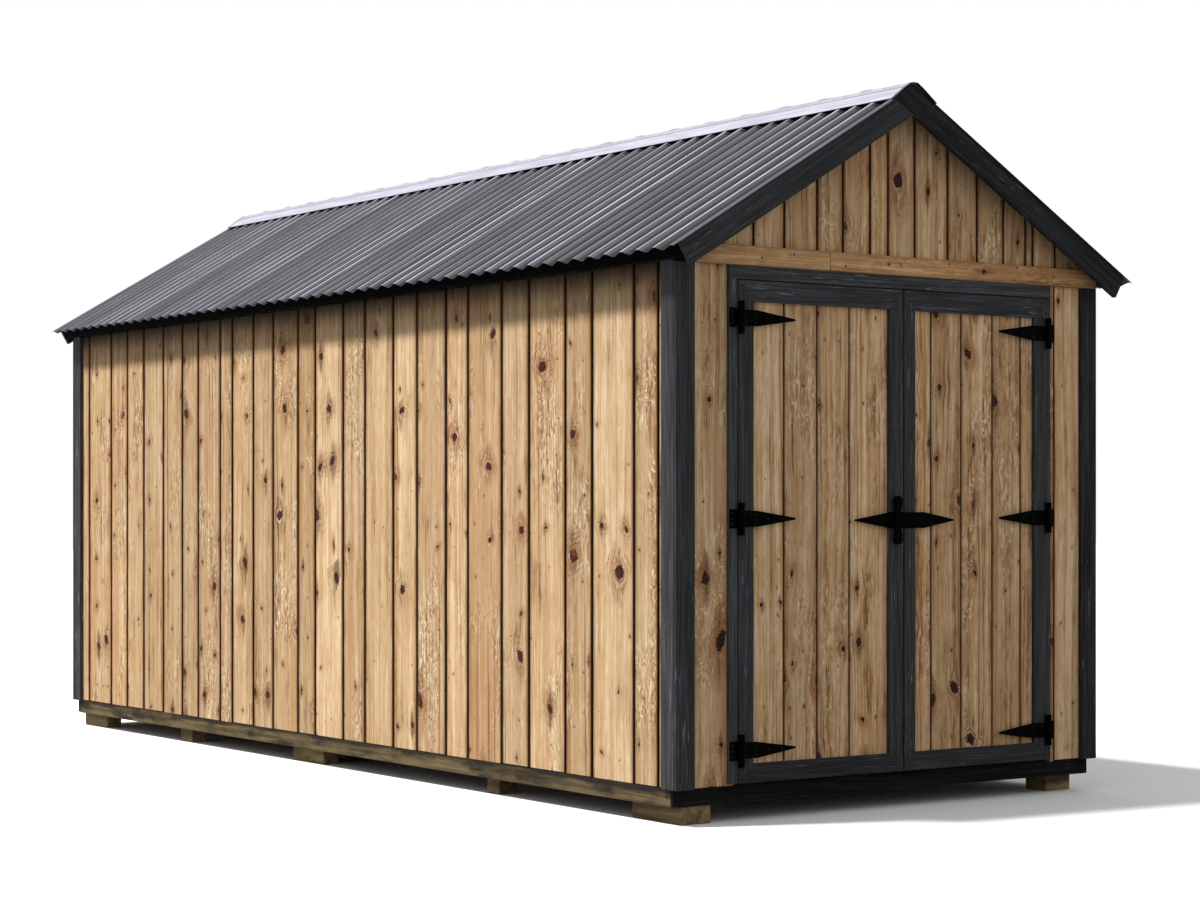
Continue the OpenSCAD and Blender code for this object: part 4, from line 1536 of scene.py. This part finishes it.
@dataclass
class DoorLeaf:
    """One leaf of the doors, boarded and framed."""

    finishes: Finishes
    side: str
    body: Body
    joints: tuple
    seed: int
    gap: float = 0.0078
    edge: float = 0.0025
    soil_and_shade: float = 0.42
    tongue_w: float = 0.016
    tongue_t: float = 0.005
    tongue_inset: float = 0.002
    frame_edge: float = 0.002
    least_frame: float = 0.01
    mitre_gap: float = 0.0002

    def boards(self) -> None:
        """Builds the upright boards and the tongues between them."""
        node = f"door_{self.side}_boards"
        low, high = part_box(node)
        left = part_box("corner_front_left")[0].x
        work = Joinery(f"door_{self.side}_boarding", self.seed, self.soil_and_shade)
        places = [left + j * MM for j in self.joints]
        stretches = board_ends(low.x, high.x, places)
        for x0, x1 in board_edges(stretches, self.gap):
            work.board(Vector((x0, low.y, low.z)), Vector((x1, high.y, high.z)), Axis.Z, (), self.edge)
        middle = (low.y + high.y) / 2
        # The tongues behind the joints take the near black painted shade.
        for a, _ in stretches[1:]:
            one = Vector((a - self.tongue_w / 2, middle - self.tongue_t / 2, low.z + self.tongue_inset))
            two = Vector((a + self.tongue_w / 2, middle + self.tongue_t / 2, high.z - self.tongue_inset))
            work.board(one, two, Axis.Z, (), 0.0, 1)
        work.close([self.finishes.pine, self.finishes.shade_black], "board_timber", self.body, (node,))

    def frame(self) -> None:
        """Builds the charcoal frame of four mitred boards."""
        node = f"door_{self.side}_frame"
        low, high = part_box(node)
        points, least = points_of(node), self.least_frame
        inner_x = sorted(p.x for p in points if low.x + least < p.x < high.x - least)
        inner_z = sorted(p.z for p in points if low.z + least < p.z < high.z - least)
        x0, x1, z0, z1 = inner_x[0], inner_x[-1], inner_z[0], inner_z[-1]
        corners = [
            (Vector((low.x, 0, low.z)), Vector((x0, 0, z0))),
            (Vector((high.x, 0, low.z)), Vector((x1, 0, z0))),
            (Vector((high.x, 0, high.z)), Vector((x1, 0, z1))),
            (Vector((low.x, 0, high.z)), Vector((x0, 0, z1))),
        ]

        def mitre(corner: int, keep: Vector) -> tuple[Vector, Vector]:
            """Plane of the mitre at a corner.

            Args:
                corner: The number of the corner.
                keep: A point on the side that stays.

            Returns:
                A point on the plane and the normal of the side that goes.
            """
            outer, inner = corners[corner]
            line = inner - outer
            normal = Vector((line.z, 0, -line.x)).normalized()
            if (keep - inner).dot(normal) > 0:
                normal.negate()
            return inner - normal * self.mitre_gap, normal

        work = Joinery(f"door_{self.side}_framing", self.seed + 1)
        centre = Vector(((x0 + x1) / 2, 0, (z0 + z1) / 2))
        spans = (
            ((low.x, low.z), (x0, high.z), Axis.Z, (0, 3), Vector((low.x, 0, centre.z))),
            ((x1, low.z), (high.x, high.z), Axis.Z, (1, 2), Vector((high.x, 0, centre.z))),
            ((low.x, low.z), (high.x, z0), Axis.X, (0, 1), Vector((centre.x, 0, low.z))),
            ((low.x, z1), (high.x, high.z), Axis.X, (2, 3), Vector((centre.x, 0, high.z))),
        )
        for (a, b), (c, d), along, ends, keep in spans:
            cuts = tuple(mitre(end, keep) for end in ends)
            work.board(Vector((a, low.y, b)), Vector((c, high.y, d)), along, cuts, self.frame_edge)
        work.close([self.finishes.charcoal], "charcoal_timber", self.body, (node,))

    def build(self) -> None:
        """Builds the leaf."""
        self.boards()
        self.frame()


@dataclass
class Ironwork:
    """Hinges and latch, with their screws."""

    finishes: Finishes
    screw_r: float = 0.0042
    screw_h: float = 0.0022
    nail_r: float = 0.0048
    dome: float = 0.55
    sides: int = 10
    smooth: float = 50
    plate_t: float = 0.004
    plate_inset: float = 0.012
    plate_rises: tuple = (0.024, 0.0, -0.024)
    strap_seats: tuple = ((0.03, 0.02), (0.03, -0.02), (0.085, 0.018), (0.085, -0.018), (0.15, 0), (0.225, 0))
    frame_seats: tuple = ((0.026, 0.062), (0.048, 0.086))
    beam_marks: tuple = (
        (-0.596, 0.70), (-0.772, 0.42), (0.006, 0.60), (0.294, 0.78), (0.707, 0.86), (-0.31, 0.3),
    )

    def screws(self, name: str, body: Body, places: list[Vector], radius: float, facing: Vector) -> None:
        """Builds domed heads of screws or nails.

        Args:
            name: The name of the piece.
            body: The body it rides on.
            places: The middles of the seats of the heads.
            radius: The radius of a head.
            facing: The direction that the heads face.
        """
        work = Joinery(name, 91)
        for place in places:
            middle = place + facing * self.screw_h / 2
            work.head(middle, facing, (radius, radius * self.dome), self.screw_h, self.sides)
        work.close([self.finishes.heads], "black_iron", body, (), self.smooth)

    def frame_screws(self, side: str) -> list[Vector]:
        """Seats of two screws at each corner of the frame of a leaf.

        Args:
            side: The side of the leaf.

        Returns:
            The middles of the seats.
        """
        low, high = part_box(f"door_{side}_frame")
        places = []
        for x, way in ((low.x, 1), (high.x, -1)):
            for z, rise in ((low.z, 1), (high.z, -1)):
                for across, up in self.frame_seats:
                    places.append(Vector((x + way * across, low.y, z + rise * up)))
        return places

    def beam_nails(self, node: str) -> list[Vector]:
        """Seats of the nails along the outer face of a gable beam.

        Args:
            node: The node of the beam.

        Returns:
            The middles of the seats.
        """
        low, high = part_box(node)
        face = low.y if low.y < 0 else high.y
        turned = 1 if low.y < 0 else -1
        rise = high.z - low.z
        return [Vector((turned * x, face, low.z + share * rise)) for x, share in self.beam_marks]

    def build(self) -> None:
        """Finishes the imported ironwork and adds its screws."""
        front, back = Vector((0, -1, 0)), Vector((0, 1, 0))
        pins = {joint["child"]: joint["pos_m"] for joint in frame["joints"]}
        for side, way in (("left", 1), ("right", -1)):
            for name in ("hinge_plates", "hinge_straps", "latch"):
                self.paint(f"{name}_{side}")
            leaf = Body(f"door_{side}")
            levels = self.levels(f"hinge_straps_{side}")
            pin_x = pins[leaf.value][0]
            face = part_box(f"hinge_straps_{side}")[1].y - self.plate_t
            places = [
                Vector((pin_x + way * reach, face, z + rise))
                for z in levels
                for reach, rise in self.strap_seats
            ]
            self.screws(f"strap_screws_{side}", leaf, places, self.screw_r, front)
            self.screws(f"frame_screws_{side}", leaf, self.frame_screws(side), self.nail_r, front)
            low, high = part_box(f"hinge_plates_{side}")
            outer = (low.x if side == "left" else high.x) + way * self.plate_inset
            face = high.y - self.plate_t
            seats = [Vector((outer, face, z + rise)) for z in levels for rise in self.plate_rises]
            self.screws(f"plate_screws_{side}", Body.SHED, seats, self.screw_r, front)
        self.screws("beam_nails_front", Body.SHED, self.beam_nails("beam_front"), self.nail_r, front)
        self.screws("beam_nails_back", Body.SHED, self.beam_nails("beam_back"), self.nail_r, back)

    @staticmethod
    def levels(node: str) -> list[float]:
        """Heights of the middles of the separate straps of a node.

        Args:
            node: The node of the straps.

        Returns:
            The heights, from the lowest up.
        """
        rows = []
        for part in islands(solid_of(node)):
            heights = [v.co.z for v in part.verts]
            rows.append((min(heights) + max(heights)) / 2)
            part.free()
        return sorted(rows)

    def paint(self, node: str) -> None:
        """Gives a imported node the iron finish.

        Args:
            node: The name of the node.
        """
        data = frame["nodes"][node].data
        data.materials.clear()
        data.materials.append(self.finishes.iron)
        LOG.info("%s: finished", node)


# ---------------------------------------------------------------- roof


@dataclass(frozen=True)
class Slope:
    """One slope of the roof and the waves of its sheets.

    Attributes:
        foot: The lower end of the crests.
        up: The direction up the slope.
        out: The direction square to the slope.
        length: The length up the slope.
        start: The first edge of the sheets along the shed.
        end: Their last edge.
        first: The place of the first crest.
        pitch: The distance between crests.
    """

    foot: Vector
    up: Vector
    out: Vector
    length: float
    start: float
    end: float
    first: float
    pitch: float


@dataclass
class Roof:
    """Corrugated sheets and ridge cap."""

    finishes: Finishes
    waves: int = 54
    rake: float = 0.020
    wave_depth: float = 0.018
    sheet_t: float = 0.0012
    lap_drop: float = 0.0014
    sheets: int = 6
    steps: int = 14
    slack: float = 0.0001
    screw_rows: int = 6
    screw_h: float = 0.004
    screw_radii: tuple = (0.009, 0.006)
    screw_sunk: float = 0.9
    screw_sides: int = 8
    hump_share: float = 0.6
    hump_start: float = 0.0002
    smooth: float = 50
    cap_smooth: float = 40

    def slope(self, node: str) -> Slope:
        """Measures one slope.

        Args:
            node: The node of the sheets.

        Returns:
            The slope.
        """
        points = points_of(node)
        sign = 1 if sum(p.x for p in points) < 0 else -1
        up = Vector((math.cos(ROOF_PITCH) * sign, 0, math.sin(ROOF_PITCH)))
        out = Vector((-math.sin(ROOF_PITCH) * sign, 0, math.cos(ROOF_PITCH)))
        crest = max(p.dot(out) for p in points)
        foot = min(p.dot(up) for p in points)
        head = max(p.dot(up) for p in points)
        low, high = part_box(node)
        pitch = (high.y - low.y - 2 * self.rake) / self.waves
        return Slope(out * crest + up * foot, up, out, head - foot, low.y, high.y, low.y + self.rake, pitch)

    def sheet_side(self, node: str, seed: int) -> None:
        """Builds the overlapping sheets of one slope.

        Args:
            node: The node that they stand for.
            seed: The seed of their chances.
        """
        slope = self.slope(node)
        per = self.waves // self.sheets
        work = Joinery(f"{node}_sheets", seed)
        for i in range(self.sheets):
            start = slope.start if i == 0 else slope.first + (i * per - 0.5) * slope.pitch
            end = slope.end if i == self.sheets - 1 else slope.first + ((i + 1) * per + 0.5) * slope.pitch
            self.one_sheet(work, slope, start, end)
        work.close([self.finishes.roof], "grey_sheet", Body.SHED, (node,), self.smooth)

    def one_sheet(self, work: Joinery, slope: Slope, start: float, end: float) -> None:
        """Rolls one sheet and lays it on its slope.

        Args:
            work: The piece that it joins.
            slope: The slope.
            start: Its first edge along the shed.
            end: Its last edge along the shed.
        """
        part = work.sheet()
        columns = round((end - start) / slope.pitch * self.steps)
        length = slope.length
        bmesh.ops.create_grid(part, x_segments=columns, y_segments=2, size=1.0)
        bmesh.ops.scale(part, vec=((end - start) / 2, length / 2, 1), verts=part.verts[:])
        bmesh.ops.translate(part, vec=((start + end) / 2, length / 2, 0), verts=part.verts[:])
        bend = 2 * math.pi / slope.pitch
        for v in part.verts:
            share = (v.co.x - start) / (end - start)
            wave = self.wave_depth / 2 * (math.cos((v.co.x - slope.first) * bend) - 1)
            v.co.z = wave - share * self.lap_drop - self.slack
        bmesh.ops.recalc_face_normals(part, faces=part.faces[:])
        bmesh.ops.solidify(part, geom=part.faces[:], thickness=self.sheet_t)
        top = max(v.co.z for v in part.verts)
        bmesh.ops.translate(part, vec=(0, 0, -max(top, 0.0)), verts=part.verts[:])
        grain = part.verts.layers.float_vector["grain"]
        board = part.verts.layers.float_vector["board"]
        tone = work.rng.random()
        capped = (abs(slope.foot.x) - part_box("ridge_cap")[1].x) / abs(slope.up.x)
        for v in part.verts:
            v[grain] = v.co
            v[board] = Vector((tone, capped, 0))
        place = Matrix.Identity(4)
        place.col[0] = (0, 1, 0, 0)
        place.col[1] = (*slope.up, 0)
        place.col[2] = (*slope.out, 0)
        place.col[3] = (*slope.foot, 1)
        bmesh.ops.transform(part, matrix=place, verts=part.verts[:])
        bmesh.ops.recalc_face_normals(part, faces=part.faces[:])
        work.gather(part)

    def screws(self, node: str) -> None:
        """Builds the screws on the crests over the gables.

        Args:
            node: The node of the sheets that they hold.
        """
        slope = self.slope(node)
        inset = self.rake + slope.pitch
        sunk = self.screw_h * self.screw_sunk
        work = Joinery(f"{node}_screws", 95)
        for i in range(self.screw_rows):
            share = (i + 0.5) / self.screw_rows
            seat = slope.foot + slope.up * (slope.length * share) - slope.out * sunk
            for y in (slope.start + inset, slope.end - inset):
                middle = Vector((seat.x, y, seat.z))
                work.head(middle, slope.out, self.screw_radii, self.screw_h, self.screw_sides)
        work.close([self.finishes.iron], "black_iron", Body.SHED, (), self.smooth)

    def build(self) -> None:
        """Builds the roof covering."""
        for node, seed in (("roof_sheet_left", 61), ("roof_sheet_right", 62)):
            self.sheet_side(node, seed)
            self.screws(node)
        self.cap()

    def cap(self) -> None:
        """Builds the ridge cap, with its humps pressed lower and rounder."""
        part = solid_of("ridge_cap")
        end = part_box("ridge_cap")[1].y - MM
        ridge = max(v.co.z for v in part.verts if abs(v.co.y) > end)
        for v in part.verts:
            if v.co.z > ridge + self.hump_start:
                v.co.z = ridge + (v.co.z - ridge) * self.hump_share
        work = Joinery("ridge_cap_sheet", 97)
        work.gather(part)
        work.close([self.finishes.cap], "silver_sheet", Body.SHED, ("ridge_cap",), self.cap_smooth)


# ---------------------------------------------------------------- studio


@dataclass
class Studio:
    """Camera, light and floor."""

    finishes: Finishes
    eye: tuple = (-7.527, -11.533, 1.328)
    turn: float = 34.979
    lens: float = 76.96
    sensor: float = 36.0
    rise: float = 0.0446
    sight: float = 200.0
    sun_way: tuple = (0.4134, -0.1797, -0.8963)
    sun_power: float = 4.35
    sun_spread: float = 6.0
    sun_colour: tuple = (1.0, 0.985, 0.965)
    sky: float = 0.62
    sky_colour: tuple = (0.97, 0.985, 1.0)
    white: tuple = (1.0, 1.0, 1.0)
    floor_reach: float = 60.0

    def camera(self) -> None:
        """Places the camera."""
        data = bpy.data.cameras.new("camera")
        data.lens = self.lens
        data.sensor_width = self.sensor
        data.shift_y = self.rise
        data.clip_end = self.sight
        camera = bpy.data.objects.new("camera", data)
        camera.location = self.eye
        camera.rotation_euler = (math.radians(90), 0, math.radians(-self.turn))
        bpy.context.scene.collection.objects.link(camera)
        bpy.context.scene.camera = camera

    def light(self) -> None:
        """Sets up the sun and the sky."""
        data = bpy.data.lights.new("sun", "SUN")
        data.energy = self.sun_power
        data.angle = math.radians(self.sun_spread)
        data.color = self.sun_colour
        sun = bpy.data.objects.new("sun", data)
        sun.rotation_euler = Vector(self.sun_way).to_track_quat("-Z", "Y").to_euler()
        bpy.context.scene.collection.objects.link(sun)
        b = Bench(bpy.data.worlds.new("world"))
        dome, plain = (
            Signal(b, b.node("ShaderNodeBackground", None, {"Color": colour, "Strength": power}).outputs[0])
            for colour, power in ((self.sky_colour, self.sky), (self.white, 1.0))
        )
        mixed = b.node("ShaderNodeMixShader", None, {0: b.seen(), 1: dome, 2: plain})
        b.node("ShaderNodeOutputWorld", None, {0: Signal(b, mixed.outputs[0])})
        bpy.context.scene.world = b.owner

    def floor(self) -> None:
        """Lays the pale floor."""
        mesh = bmesh.new()
        bmesh.ops.create_grid(mesh, x_segments=1, y_segments=1, size=self.floor_reach)
        data = bpy.data.meshes.new("studio_floor")
        mesh.to_mesh(data)
        mesh.free()
        data.materials.append(self.finishes.floor)
        floor = bpy.data.objects.new("studio_floor", data)
        bpy.context.scene.collection.objects.link(floor)

    def build(self) -> None:
        """Sets up the studio."""
        bpy.context.scene.view_settings.view_transform = "Standard"
        self.camera()
        self.light()
        self.floor()


def main() -> None:
    """Builds the shed and its studio."""
    logging.basicConfig(level=logging.INFO, format="%(name)s %(message)s")
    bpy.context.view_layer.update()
    finishes = Finishes()
    Walls(finishes).build()
    Timbers(finishes).build()
    DoorLeaf(finishes, "left", Body.DOOR_LEFT, joints=(586, 769, 950), seed=31).build()
    DoorLeaf(finishes, "right", Body.DOOR_RIGHT, joints=(1424, 1605, 1796, 1971), seed=34).build()
    Ironwork(finishes).build()
    Roof(finishes).build()
    Studio(finishes).build()


if __name__ == "__main__":
    main()
